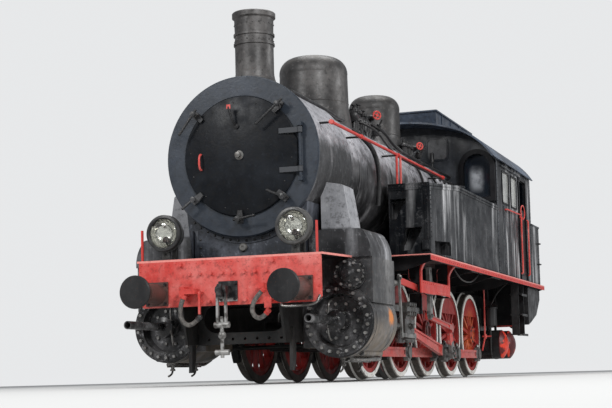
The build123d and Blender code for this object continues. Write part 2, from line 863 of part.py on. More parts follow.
hinge_x = 745
hinge_y = smokebox_front_y - 58
hinge_rod_half = 340
hinge_bracket_up = 318
strap_ups = (250, -205)
knuckle_half = 36
with BuildPart() as smokebox:
    with BuildSketch(Plane.XY.offset(boiler_z)) as smokebox_section:
        with BuildLine():
            Polyline(
                (door_hole_radius, smokebox_front_y),
                (smokebox_ring_radius - 14, smokebox_front_y),
                (smokebox_ring_radius, smokebox_front_y + 14),
                (smokebox_ring_radius, smokebox_front_y + ring_thickness),
                (smokebox_radius, smokebox_front_y + ring_thickness),
                (smokebox_radius, smokebox_rear_y),
                (smokebox_radius - smokebox_shell, smokebox_rear_y),
                (smokebox_radius - smokebox_shell, smokebox_front_y + ring_thickness),
                (door_hole_radius, smokebox_front_y + ring_thickness),
                close=True,
            )
        make_face()
    revolve(axis=Axis((0, 0, boiler_z), (0, 1, 0)))
    disc_z((boiler_z, boiler_z + 1000), 0, chimney_y, chimney_bore, mode=Mode.SUBTRACT)
    # Upright hinge rod and its two brackets
    disc_z((boiler_z - hinge_rod_half, boiler_z + hinge_rod_half), hinge_x, hinge_y, 17)
    for z in (boiler_z - hinge_bracket_up, boiler_z + hinge_bracket_up):
        block((hinge_x - 26, hinge_x + 26), (hinge_y - 26, smokebox_front_y + 5), (z - 22, z + 22))
smokebox.part.label = "smokebox"
export_step(smokebox.part, "parts/smokebox.step")

door_face_y = smokebox_front_y - 6
with BuildPart() as smokebox_door:
    with BuildSketch(Plane.XY.offset(boiler_z)) as door_section:
        with BuildLine():
            dome = ThreePointArc(
                (-0.0, door_face_y - door_dome),
                (door_radius * 0.55, door_face_y - 24 - (door_dome - 24) * 0.72),
                (door_radius - 12, door_face_y - 24),
            )
            Polyline(
                dome @ 1,
                (door_radius, door_face_y - 14),
                (door_radius, door_face_y),
                (0, door_face_y),
                (0, door_face_y - door_dome),
            )
        make_face()
    revolve(axis=Axis((0, 0, boiler_z), (0, 1, 0)))
    # Strap hinges and their knuckles
    for z in [boiler_z + up for up in strap_ups]:
        block((490, hinge_x), (hinge_y - 12, hinge_y + 6), (z - 30, z + 30))
        block((500, 640), (hinge_y, door_face_y - 4), (z - 30, z + 30))
        disc_z((z - knuckle_half, z + knuckle_half), hinge_x, hinge_y, 30)
        disc_z(
            (z - knuckle_half - 1, z + knuckle_half + 1),
            hinge_x,
            hinge_y,
            17 + running_gap,
            mode=Mode.SUBTRACT,
        )
smokebox_door.part.label = "smokebox_door"
export_step(smokebox_door.part, "parts/smokebox_door.step")

with BuildPart() as boiler:
    disc_y((smokebox_rear_y, firebox_front_y), 0, boiler_z, barrel_radius)
    disc_y(
        (smokebox_rear_y - 20, smokebox_rear_y + 60),
        0,
        boiler_z,
        smokebox_radius - smokebox_shell - fit_gap,
    )
    for y in (-3400, -1900, -450, 680):
        disc_y((y, y + 70), 0, boiler_z, barrel_radius + 5)
    # Firebox, narrowed between the frame plates, with its ashpan
    with BuildSketch(Plane.XZ.offset(-firebox_front_y)):
        with Locations((0, boiler_z)):
            Circle(barrel_radius)
        with Locations((0, (boiler_z + 1700) / 2)):
            Rectangle(2 * firebox_half_width, boiler_z - 1700)
        with Locations((0, (firebox_bottom + 1700) / 2)):
            Rectangle(2 * 560, 1700 - firebox_bottom)
    extrude(amount=firebox_front_y - backhead_y)
    block((-480, 480), (axle_ys[3] + 160, backhead_y - 60), (axle_z + 60, firebox_bottom))
boiler.part.label = "boiler"
export_step(boiler.part, "parts/boiler.step")

# Chimney and domes, each with a foot that fits the boiler
with BuildPart() as chimney:
    # Flange that follows the smokebox
    disc_z((boiler_z + 600, boiler_z + 1000), 0, 0, chimney_radius + 130)
    disc_y((-1000, 1000), 0, boiler_z, smokebox_radius + 24, mode=Mode.INTERSECT)
    disc_z((boiler_z + 500, boiler_z + 1000), 0, 0, chimney_bore, mode=Mode.SUBTRACT)
    with BuildSketch(Plane.XZ) as chimney_section:
        with BuildLine():
            Polyline(
                (chimney_bore, boiler_z + 800),
                (chimney_radius + 66, boiler_z + 800),
                (chimney_radius + 60, boiler_z + 875),
                (chimney_radius + 34, boiler_z + 940),
                (chimney_radius + 14, boiler_z + 1000),
                (chimney_radius + 5, boiler_z + 1060),
                (chimney_radius + 5, 4060),
                (chimney_radius + 20, 4060),
                (chimney_radius + 20, 4085),
                (chimney_radius + 5, 4085),
                (chimney_radius + 5, 4175),
                (chimney_radius + 20, 4175),
                (chimney_radius + 20, 4200),
                (chimney_radius + 5, 4200),
                (chimney_radius + 10, chimney_top - 80),
                (chimney_radius + 34, chimney_top - 62),
                (chimney_radius + 34, chimney_top - 10),
                (chimney_radius + 24, chimney_top),
                (chimney_bore, chimney_top),
                close=True,
            )
        make_face()
    revolve(axis=Axis.Z)
    with BuildSketch(Plane.XZ) as chimney_seat:
        with Locations((0, boiler_z)):
            Circle(smokebox_radius + fit_gap)
    extrude(amount=2000, both=True, mode=Mode.SUBTRACT)
chimney_piece = chimney.part.moved(Location((0, chimney_y, 0)))
chimney_piece.label = "chimney"
export_step(chimney_piece, "parts/chimney.step")

dome_cap_radius = 1200
# Domes, by label, place, radius, top, and how far the shoulder reaches in and down
domes = (
    ("steam_dome", steam_dome_y, steam_dome_radius, steam_dome_top, 230, 270),
    ("sand_dome", sand_dome_y, sand_dome_radius, sand_dome_top, 200, 250),
)
for label, y, radius, top, shoulder, drop in domes:
    with BuildPart() as dome_block:
        with BuildSketch(Plane.XZ):
            with BuildLine():
                flank = Line((radius + 60, boiler_z + 600), (radius, boiler_z + barrel_radius + 130))
                wall = Line(flank @ 1, (radius - 8, top - drop))
                cap_edge = radius - shoulder
                cap_sink = dome_cap_radius - sqrt(dome_cap_radius**2 - cap_edge**2)
                crown = ThreePointArc(
                    wall @ 1,
                    (radius - 0.29 * shoulder, top - 0.33 * drop),
                    (cap_edge, top - cap_sink),
                )
                cap = RadiusArc(crown @ 1, (0, top), -dome_cap_radius)
                Polyline(cap @ 1, (0, boiler_z + 600), flank @ 0)
            make_face()
        revolve(axis=Axis.Z)
        with BuildSketch(Plane.XZ) as dome_seat:
            with Locations((0, boiler_z)):
                Circle(barrel_radius + fit_gap)
        extrude(amount=1000, both=True, mode=Mode.SUBTRACT)
    dome_piece = dome_block.part.moved(Location((0, y, 0)))
    dome_piece.label = label
    export_step(dome_piece, f"parts/{label}.step")

# Side tanks, with the sloping front of their tops
tank_front_recesses = (
    ((960, 2400), (1180, 2400), (1180, 2330), (1125, 2290), (1045, 2130), (960, 2130)),
    ((1160, 2012), (1390, 2012), (1375, 1950), (1240, 1712), (1076, 1702), (1090, 1790), (1130, 1870)),
)
with BuildPart() as side_tanks:
    side_plate(
        (tank_inner_x, side_plane),
        (
            (tank_front_y, board_top),
            (tank_front_y, tank_front_top),
            (tank_slope_end_y, tank_top),
            (cab_front_y, tank_top),
            (cab_front_y, board_top),
        ),
    )
    # Recesses in the front face, for the upper and the lower step
    for outline in tank_front_recesses:
        cross_plate((tank_front_y - 1, tank_front_y + 240), outline, mode=Mode.SUBTRACT)
    # Opening in the side just above the running board
    side_plate(
        (side_plane - 140, side_plane + 1),
        ((-2165, 1660), (-1265, 1695), (-1265, 1840), (-1330, 1885), (-2165, 1835)),
        mode=Mode.SUBTRACT,
    )
    mirror(about=Plane.YZ)
side_tanks.part.label = "side_tanks"
export_step(side_tanks.part, "parts/side_tanks.step")

# Cab. The roof is a crown arc with a tighter arc at each shoulder.
def roof_line(drop):
    """Draw the roof's arc, lowered and drawn in by an amount, from edge to edge."""
    right = ThreePointArc(
        (-roof_edge_x + drop, roof_edge_z),
        (-1345 + drop * 0.8, 3760 - drop * 0.6),
        (-roof_shoulder_x, roof_shoulder_z - drop),
    )
    crown = ThreePointArc(
        right @ 1,
        (0, roof_crown - drop),
        (roof_shoulder_x, roof_shoulder_z - drop),
    )
    left = ThreePointArc(
        crown @ 1,
        (1345 - drop * 0.8, 3760 - drop * 0.6),
        (roof_edge_x - drop, roof_edge_z),
    )
    return right, left


with BuildPart() as cab_roof:
    # Long ventilator box on the crown, its ends leaning in
    side_plate(
        (-ventilator_half, ventilator_half),
        (
            (1760, roof_crown - 100),
            (1720, ventilator_top),
            (4240, ventilator_top),
            (4200, roof_crown - 100),
        ),
    )
    with BuildSketch(Plane.XZ.offset(-roof_front_y)) as roof_inside:
        with BuildLine():
            inner = roof_line(roof_thickness)
            Line(inner[1] @ 1, inner[0] @ 0)
        make_face()
    extrude(amount=roof_front_y - roof_rear_y, mode=Mode.SUBTRACT)
    with BuildSketch(Plane.XZ.offset(-roof_front_y)) as roof_section:
        with BuildLine():
            outer = roof_line(0)
            Line(outer[0] @ 0, (-roof_edge_x + roof_thickness, roof_edge_z))
            inner = roof_line(roof_thickness)
            Line(inner[1] @ 1, outer[1] @ 1)
        make_face()
    extrude(amount=roof_front_y - roof_rear_y)
cab_roof.part.label = "cab_roof"
export_step(cab_roof.part, "parts/cab_roof.step")


# Openings in the cab side, each as its front, rear, bottom and top
side_openings = (
    (2440, 2950, 2860, 3360),
    (3150, 3600, 2860, 3360),
    (door_front_y, door_rear_y, door_sill, doorway_top),
)
door_gap = 6
door_inner_x = side_plane - cab_wall + 4
door_outer_x = side_plane - 4
door_hinge_x = (door_inner_x + door_outer_x) / 2
door_hinge_y = door_front_y + 24
hinge_zs = (1900, 2600)
hinge_lug = 30
hinge_pin_radius = 8
hinge_pin_length = 45
with BuildPart() as cab_sides:
    side_plate(
        (side_plane - cab_wall, side_plane),
        (
            (cab_front_y, board_top),
            (cab_front_y, cab_side_top),
            (cab_rear_y, cab_side_top),
            (cab_rear_y, board_top),
        ),
    )
    for front, rear, bottom, top in side_openings:
        block(
            (side_plane - cab_wall - 1, side_plane + 1),
            (front, rear),
            (bottom, top),
            mode=Mode.SUBTRACT,
        )
    # Door hinges: a lug on the wall with an upright pin
    for z in hinge_zs:
        block((door_inner_x, door_outer_x), (door_front_y, door_hinge_y + 11), (z, z + hinge_lug))
        disc_z((z, z + hinge_lug + hinge_pin_length), door_hinge_x, door_hinge_y, hinge_pin_radius)
    mirror(about=Plane.YZ)
cab_sides.part.label = "cab_sides"
export_step(cab_sides.part, "parts/cab_sides.step")

wall_half = side_plane - cab_wall
spectacle_x = 1195
spectacle_half = 240
spectacle_bottom = 2880
spectacle_spring = 3380
# End walls, by name, front face and whether the boiler passes through
end_walls = (
    ("cab_front", cab_front_y, True),
    ("cab_rear", cab_rear_y - cab_wall, False),
)
for label, front, has_boiler in end_walls:
    with BuildPart() as end_wall:
        with BuildSketch(Plane.XZ.offset(-front)) as wall_outline:
            with BuildLine():
                under = roof_line(roof_thickness + fit_gap)
                Polyline(
                    under[1] @ 1,
                    (wall_half, roof_edge_z),
                    (wall_half, board_top),
                    (-wall_half, board_top),
                    (-wall_half, roof_edge_z),
                    under[0] @ 0,
                )
            make_face()
            with Locations((0, 2800)):
                Rectangle(2 * wall_half, 4000, mode=Mode.INTERSECT)
            if has_boiler:
                with Locations((0, boiler_z)):
                    Circle(barrel_radius + fit_gap, mode=Mode.SUBTRACT)
                with Locations((0, (boiler_z + 1600) / 2)):
                    Rectangle(2 * (firebox_half_width + fit_gap), boiler_z - 1600, mode=Mode.SUBTRACT)
                with Locations((0, 1640)):
                    Rectangle(2 * (560 + fit_gap), 140, mode=Mode.SUBTRACT)
            # Arched lookout windows
            for x in (-spectacle_x, spectacle_x):
                with Locations((x, (spectacle_bottom + spectacle_spring) / 2)):
                    Rectangle(2 * spectacle_half, spectacle_spring - spectacle_bottom, mode=Mode.SUBTRACT)
                with Locations((x, spectacle_spring)):
                    Circle(spectacle_half, mode=Mode.SUBTRACT)
        extrude(wall_outline.sketch, amount=-cab_wall)
    end_wall.part.label = label
    export_step(end_wall.part, f"parts/{label}.step")

with BuildPart() as cab_floor:
    block(
        (-wall_half, wall_half),
        (cab_front_y + cab_wall, cab_rear_y - cab_wall),
        (board_top, cab_floor_top),
    )
    block(
        (-firebox_half_width - fit_gap, firebox_half_width + fit_gap),
        (cab_front_y, backhead_y + fit_gap),
        (board_top - 1, cab_floor_top + 1),
        mode=Mode.SUBTRACT,
    )
cab_floor.part.label = "cab_floor"
export_step(cab_floor.part, "parts/cab_floor.step")

# Cab doors, hung on the pins at their front edge and opening inwards
for side, sign, crank in sides:
    with BuildPart() as cab_door:
        block(
            (sign * door_inner_x, sign * door_outer_x),
            (door_hinge_y - 16, door_rear_y - door_gap),
            (door_sill + door_gap, door_top),
        )
        for z in hinge_zs:
            block(
                (sign * (door_inner_x - 1), sign * (door_outer_x + 1)),
                (door_hinge_y - 17, door_hinge_y + 20),
                (z - 5, z + hinge_lug + 5),
                mode=Mode.SUBTRACT,
            )
            disc_z(
                (z, z + hinge_lug + hinge_pin_length + 5),
                sign * door_hinge_x,
                door_hinge_y,
                hinge_pin_radius + running_gap,
                mode=Mode.SUBTRACT,
            )
    cab_door.part.label = f"cab_door_{side}"
    export_step(cab_door.part, f"parts/cab_door_{side}.step")

with BuildPart() as cab_windows:
    for front, rear, bottom, top in side_openings[:2]:
        block(
            (side_plane - cab_wall / 2 - 3, side_plane - cab_wall / 2 + 3),
            (front + fit_gap, rear - fit_gap),
            (bottom + fit_gap, top - fit_gap),
        )
    for y in (cab_front_y + cab_wall / 2, cab_rear_y - cab_wall / 2):
        with BuildSketch(Plane.XZ.offset(-y)) as pane:
            with Locations((spectacle_x, (spectacle_bottom + spectacle_spring) / 2)):
                Rectangle(2 * (spectacle_half - fit_gap), spectacle_spring - spectacle_bottom - 2 * fit_gap)
            with Locations((spectacle_x, spectacle_spring)):
                Circle(spectacle_half - fit_gap)
        extrude(pane.sketch, amount=3, both=True)
    mirror(about=Plane.YZ)
cab_windows.part.label = "cab_windows"
export_step(cab_windows.part, "parts/cab_windows.step")

# Coal bunker behind the cab, open at the top, and the water space beside the frames below it
with BuildPart() as coal_bunker:
    block((-side_plane, side_plane), (cab_rear_y, bunker_rear_y), (board_top, bunker_top))
    block(
        (-side_plane + cab_wall, side_plane - cab_wall),
        (cab_rear_y + cab_wall, bunker_rear_y - cab_wall),
        (board_top + 400, bunker_top + 1),
        mode=Mode.SUBTRACT,
    )
coal_bunker.part.label = "coal_bunker"
export_step(coal_bunker.part, "parts/coal_bunker.step")

rear_tank_half_width = 1470
with BuildPart() as rear_tanks:
    side_plate(
        (frame_x + frame_thickness / 2, rear_tank_half_width),
        (
            (4500, board_top - board_thickness),
            (5640, board_top - board_thickness),
            (5630, 1375),
            (5262, 1086),
            (4743, 944),
            (4500, 890),
        ),
    )
    # Room for the last bracket plate of the running board
    slot_y = board_bracket_ys[-1]
    block(
        (0, board_half_width),
        (slot_y - 2, slot_y + 16),
        (frame_top - 20, board_top),
        mode=Mode.SUBTRACT,
    )
    mirror(about=Plane.YZ)
rear_tanks.part.label = "rear_tanks"
export_step(rear_tanks.part, "parts/rear_tanks.step")

# Casings over the valve chests, with the slanting covers of the steam pipes
casing_inner_x = saddle_half + 30
casing_corner = 100
pipe_cover = (-4785, -4400)
with BuildPart() as cylinder_casings:
    with BuildSketch(Plane.XZ.offset(-deck_rear_y)) as casing_section:
        with BuildLine():
            lower = Polyline((casing_inner_x, jacket_top), (jacket_side_x, jacket_top), (jacket_side_x, 1480))
            bulge = ThreePointArc(lower @ 1, (1458, 1600), (1412, 1696))
            brow = ThreePointArc(bulge @ 1, (1386, 1738), (1340, casing_top))
            Polyline(brow @ 1, (casing_inner_x, casing_top), (casing_inner_x, jacket_top))
        make_face()
    extrude(casing_section.sketch, amount=deck_rear_y - casing_rear_y)
    with BuildSketch(Plane.YZ.offset(saddle_half)) as corner_round:
        with Locations((casing_rear_y - casing_corner / 2, casing_top - casing_corner / 2)):
            Rectangle(casing_corner + 1, casing_corner + 1)
        with Locations((casing_rear_y - casing_corner, casing_top - casing_corner)):
            Circle(casing_corner, mode=Mode.SUBTRACT)
    extrude(corner_round.sketch, amount=side_plane - saddle_half, mode=Mode.SUBTRACT)
    # Slanting cover of the steam pipe
    cross_plate(
        pipe_cover,
        (
            (800, casing_top - 10),
            (1170, casing_top - 10),
            (1165, 1793),
            (1084, 2293),
            (1050, 2318),
            (880, 2350),
            (800, 2350),
        ),
    )
    disc_y(
        (pipe_cover[0] - 1, pipe_cover[1] + 1),
        0,
        boiler_z,
        smokebox_radius + fit_gap,
        mode=Mode.SUBTRACT,
    )
    mirror(about=Plane.YZ)
cylinder_casings.part.label = "cylinder_casings"
export_step(cylinder_casings.part, "parts/cylinder_casings.step")

# Slide bars and the brackets that carry them and the valve gear
bracket_y = driven_y - main_rod_length + crank_radius + crosshead_length / 2 + 90
gear_x = main_outer + return_crank_seat + return_crank_thickness + 8
gear_thickness = 30
link_x_inner = gear_x + gear_thickness
link_thickness = 50
link_y = bracket_y - 30
trunnion_z = 1210
plate_inner_x = 1130
plate_outer_x = 1330
bracket_plate_ys = (-2257, -737)
bracket_plate_thickness = 14
with BuildPart() as slide_bars:
    block(
        (cylinder_x - slide_bar_width / 2, cylinder_x + slide_bar_width / 2),
        (cylinder_rear_y + 60, bracket_y),
        (slide_bar_bottom, slide_bar_bottom + slide_bar_height),
    )
    mirror(about=Plane.YZ)
slide_bars.part.label = "slide_bars"
export_step(slide_bars.part, "parts/slide_bars.step")

with BuildPart() as motion_brackets:
    # Crosswise carrier behind the slide bar, hung from the running board
    cross_plate(
        (bracket_y, bracket_y + 30),
        (
            (640, board_top - board_thickness),
            (1160, board_top - board_thickness),
            (1160, slide_bar_bottom),
            (990, slide_bar_bottom),
            (990, frame_top + 20),
            (640, frame_top + 20),
        ),
    )
    # Cross plates that carry the valve gear, each flared towards the edge of the board
    for plate_y in bracket_plate_ys:
        with BuildSketch(Plane.XZ.offset(-plate_y)) as bracket_outline:
            with BuildLine():
                foot = Polyline(
                    (plate_inner_x, board_top - board_thickness),
                    (plate_inner_x, trunnion_z - 60),
                    (plate_outer_x, trunnion_z - 60),
                    (plate_outer_x, 1440),
                )
                flare = ThreePointArc(foot @ 1, (1385, 1545), (1500, board_top - board_thickness))
                Line(flare @ 1, foot @ 0)
            make_face()
            with Locations((1200, 1437)):
                SlotOverall(255, 100, rotation=90, mode=Mode.SUBTRACT)
            with Locations((1240, 1218)):
                Rectangle(70, 116, mode=Mode.SUBTRACT)
        extrude(bracket_outline.sketch, amount=-bracket_plate_thickness)
        # Flange along the flared edge and under the foot
        with BuildSketch(Plane.XZ.offset(-plate_y + 40)) as flange_edge:
            with BuildLine():
                rise = Line((plate_outer_x, trunnion_z - 60), (plate_outer_x, 1440))
                outer = ThreePointArc(rise @ 1, (1385, 1545), (1500, board_top - board_thickness))
                top_edge = Line(outer @ 1, (1478, board_top - board_thickness))
                inner = ThreePointArc(top_edge @ 1, (1368, 1554), (plate_outer_x - 18, 1442))
                drop_edge = Line(inner @ 1, (plate_outer_x - 18, trunnion_z - 60))
                Line(drop_edge @ 1, rise @ 0)
            make_face()
        extrude(flange_edge.sketch, amount=-80)
        block(
            (plate_inner_x, plate_outer_x),
            (plate_y - 40, plate_y + 40),
            (trunnion_z - 72, trunnion_z - 60),
        )
    # Lengthwise plate between them, with the bearing of the link
    side_plate(
        (plate_outer_x - 18, plate_outer_x),
        (
            (bracket_plate_ys[0], 1315),
            (bracket_plate_ys[1], 1315),
            (bracket_plate_ys[1], 1155),
            (-1500, 1155),
            (-1720, 1128),
            (-1960, 1128),
            (bracket_plate_ys[0], 1155),
        ),
    )
    disc_x((link_x_inner + link_thickness, plate_outer_x), link_y, trunnion_z, 55)
    # Angle across to the frame side, ahead of the leading cross plate
    block((905, plate_inner_x + 5), (-2290, -2230), (1492, 1512))
    block((905, 925), (-2290, -2230), (1492, board_top - board_thickness))
    mirror(about=Plane.YZ)
motion_brackets.part.label = "motion_brackets"
export_step(motion_brackets.part, "parts/motion_brackets.step")

# Valve gear at rest: eccentric rod, link, radius rod, combination lever and union link
spindle_y = -3110
lever_y = -3150
lever_top_z = 1300
lever_length = 727
union_length = 615
union_z = 560
with BuildPart() as valve_gear:
    for side, sign, (crank_y, crank_z) in sides:
        rod_x = (sign * gear_x, sign * link_x_inner)
        tip_y, tip_z = return_crank_tip(crank_z)
        slanted_bar(rod_x, (link_y - 10, 857), (tip_y, tip_z), (34, 40))
        slanted_bar(
            (sign * (link_x_inner - 8), sign * (link_x_inner + 1)),
            (link_y + 150, 857 + (tip_z - 857) * 160 / (tip_y - link_y + 10)),
            (tip_y - 170, tip_z - (tip_z - 857) * 170 / (tip_y - link_y + 10)),
            (16, 20),
            mode=Mode.SUBTRACT,
        )
        disc_x(rod_x, tip_y, tip_z, 72)
        disc_x((sign * gear_x, sign * (link_x_inner + link_thickness)), link_y - 10, 857, 52)
        # Curved link with its slot
        link_x_pair = (sign * link_x_inner, sign * (link_x_inner + link_thickness))
        with BuildSketch(Plane.YZ.offset(link_x_pair[0])) as link_outline:
            with BuildLine():
                front_curve = ThreePointArc(
                    (link_y - 80, 1520), (link_y - 52, trunnion_z), (link_y - 75, 860)
                )
                rear_curve = ThreePointArc(
                    (link_y + 55, 860), (link_y + 78, trunnion_z), (link_y + 50, 1520)
                )
                Line(front_curve @ 1, rear_curve @ 0)
                Line(rear_curve @ 1, front_curve @ 0)
            make_face()
            with Locations((link_y + 12, trunnion_z + 160)):
                SlotOverall(240, 46, rotation=90, mode=Mode.SUBTRACT)
            with Locations((link_y + 8, trunnion_z - 150)):
                SlotOverall(220, 46, rotation=90, mode=Mode.SUBTRACT)
        extrude(link_outline.sketch, amount=link_x_pair[1] - link_x_pair[0])
        # Radius rod forward to the valve spindle
        slanted_bar(
            (sign * (gear_x + 4), sign * (link_x_inner - 2)),
            (link_y, trunnion_z - 25),
            (lever_y, valve_chest_z + 43),
            (42, 42),
        )
        disc_x((sign * (gear_x + 4), sign * link_x_inner), link_y, trunnion_z - 25, 48)
        disc_y((valve_rear_y, spindle_y), sign * valve_chest_x, valve_chest_z, 28)
        block(
            (sign * (valve_chest_x - 25), sign * link_x_inner),
            (spindle_y - 80, spindle_y),
            (valve_chest_z - 32, valve_chest_z + 32),
        )
        # Combination lever and union link, which follow the crosshead's rest place
        pin_y, pin_z = driven_y + crank_radius * crank_y, axle_z + crank_radius * crank_z
        crosshead_y = pin_y - sqrt(main_rod_length**2 - (pin_z - axle_z) ** 2)
        union_y = crosshead_y - arm_ahead
        foot_y = union_y - union_length
        foot_z = lever_top_z - sqrt(lever_length**2 - (foot_y - lever_y) ** 2)
        lever_x = (sign * link_x_inner, sign * (link_x_inner + 24))
        slanted_bar(lever_x, (lever_y, lever_top_z), (foot_y, foot_z), (26, 26))
        slanted_bar(lever_x, (foot_y, foot_z), (union_y, union_z), (24, 24))
        for y, z, radius in (
            (lever_y, lever_top_z, 44),
            (foot_y, foot_z, 42),
            (union_y, union_z, 42),
        ):
            disc_x(lever_x, y, z, radius)
valve_gear.part.label = "valve_gear"
export_step(valve_gear.part, "parts/valve_gear.step")

# Headlamps on their stands
lamp_x = 790
lamp_z = 1753
lamp_radius = 210
with BuildPart() as headlamps:
    with BuildSketch(Plane.XY.offset(lamp_z)) as lamp_section:
        with BuildLine():
            Polyline(
                (lamp_x, lamp_back_y),
                (lamp_x + 90, lamp_back_y),
                (lamp_x + 160, lamp_back_y - 80),
                (lamp_x + 200, lamp_front_y + 60),
                (lamp_x + lamp_radius, lamp_front_y + 50),
                (lamp_x + lamp_radius, lamp_front_y),
                (lamp_x + lamp_radius - 25, lamp_front_y),
                (lamp_x + lamp_radius - 30, lamp_front_y + 12),
                (lamp_x, lamp_front_y - 20),
                close=True,
            )
        make_face()
    revolve(axis=Axis((lamp_x, 0, lamp_z), (0, 1, 0)))
    # Wide post below the front rim and a narrow one behind, each on a foot
    for half, front, rear, top in (
        (45, lamp_front_y + 60, lamp_front_y + 100, lamp_z - 150),
        (30, lamp_back_y - 10, lamp_back_y + 30, lamp_z),
    ):
        block((lamp_x - half, lamp_x + half), (front, rear), (deck_top, top))
        block((lamp_x - half - 40, lamp_x + half + 40), (front - 40, rear + 40), (deck_top, deck_top + 12))
    mirror(about=Plane.YZ)
headlamps.part.label = "headlamps"
export_step(headlamps.part, "parts/headlamps.step")

# Handrails along the boiler with their pillars, and the uprights at the cab doors
rail_x = 1000
rail_z = 3040
with BuildPart() as boiler_handrails:
    disc_y((-4930, 430), rail_x, rail_z, 19)
    for y in (-4900, -3750, -2070, 400):
        reach = smokebox_radius if y < smokebox_rear_y else barrel_radius
        foot_x = sqrt(reach**2 - (rail_z - boiler_z) ** 2)
        disc_x((foot_x - 25, rail_x), y, rail_z, 14)
        disc_y((y - 24, y + 24), rail_x, rail_z, 28)
    for rear, radius in ((firebox_front_y, barrel_radius), (smokebox_rear_y, smokebox_radius)):
        disc_y((smokebox_front_y, rear), 0, boiler_z, radius + fit_gap, mode=Mode.SUBTRACT)
    mirror(about=Plane.YZ)
boiler_handrails.part.label = "boiler_handrails"
export_step(boiler_handrails.part, "parts/boiler_handrails.step")

rail_foot_z = 1750
rail_head_z = 2730
with BuildPart() as cab_handrails:
    for y in (door_front_y - 40, door_rear_y + 40):
        tube(
            (
                (side_plane, y, rail_foot_z),
                (side_plane + 45, y, rail_foot_z),
                (side_plane + 45, y, rail_head_z),
                (side_plane, y, rail_head_z),
            ),
            15,
            bend=30,
        )
    mirror(about=Plane.YZ)
cab_handrails.part.label = "cab_handrails"
export_step(cab_handrails.part, "parts/cab_handrails.step")

# Cab steps below the doors
step_front_y = 3640
step_rear_y = 4090
step_zs = (700, 1040, 1385)
with BuildPart() as cab_steps:
    for y in (step_front_y, step_rear_y):
        block((1340, 1470), (y - 7, y + 7), (step_zs[0] - 10, board_top - board_thickness))
    for z in step_zs:
        block((1310, 1530), (step_front_y, step_rear_y), (z, z + 14))
        block((1516, 1530), (step_front_y, step_rear_y), (z - 24, z))
    mirror(about=Plane.YZ)
cab_steps.part.label = "cab_steps"
export_step(cab_steps.part, "parts/cab_steps.step")

# Two air reservoirs across the locomotive, slung under the frame plates, and the brake cylinders
reservoir_z = 545
reservoir_radius = 245
reservoir_ys = (3720, 4330)
reservoir_half = 1250
reservoir_head = 110
with BuildPart() as air_reservoirs:
    for y in reservoir_ys:
        with BuildSketch(Plane.XY.offset(reservoir_z)) as reservoir_section:
            with BuildLine():
                shell = Polyline(
                    (0, y),
                    (0, y + reservoir_radius),
                    (reservoir_half - reservoir_head, y + reservoir_radius),
                )
                head_radius = (reservoir_head**2 + reservoir_radius**2) / (2 * reservoir_head)
                head = RadiusArc(shell @ 1, (reservoir_half, y), head_radius)
                Line(head @ 1, (0, y))
            make_face()
        revolve(axis=Axis((0, y, reservoir_z), (1, 0, 0)))
        # Hanger bolted to the outer face of each frame plate
        hanger_x = frame_x + frame_thickness / 2 + fit_gap
        block(
            (hanger_x, hanger_x + 24),
            (y - 60, y + 60),
            (reservoir_z + reservoir_radius - 20, 920),
        )
    mirror(about=Plane.YZ)
air_reservoirs.part.label = "air_reservoirs"
export_step(air_reservoirs.part, "parts/air_reservoirs.step")

brake_x = 1000
brake_y = 3500
brake_bottom = 860
brake_top = 1150
brake_radius = 105
with BuildPart() as brake_cylinders:
    disc_z((brake_bottom, brake_top), brake_x, brake_y, brake_radius)
    disc_z((brake_top, brake_top + 20), brake_x, brake_y, brake_radius + 20)
    cross_plate(
        (brake_y - 7, brake_y + 7),
        (
            (frame_x + frame_thickness / 2, brake_top + 10),
            (brake_x + 125, brake_top + 10),
            (brake_x + 125, brake_top + 60),
            (760, 1400),
            (frame_x + frame_thickness / 2, 1400),
        ),
    )
    mirror(about=Plane.YZ)
brake_cylinders.part.label = "brake_cylinders"
export_step(brake_cylinders.part, "parts/brake_cylinders.step")

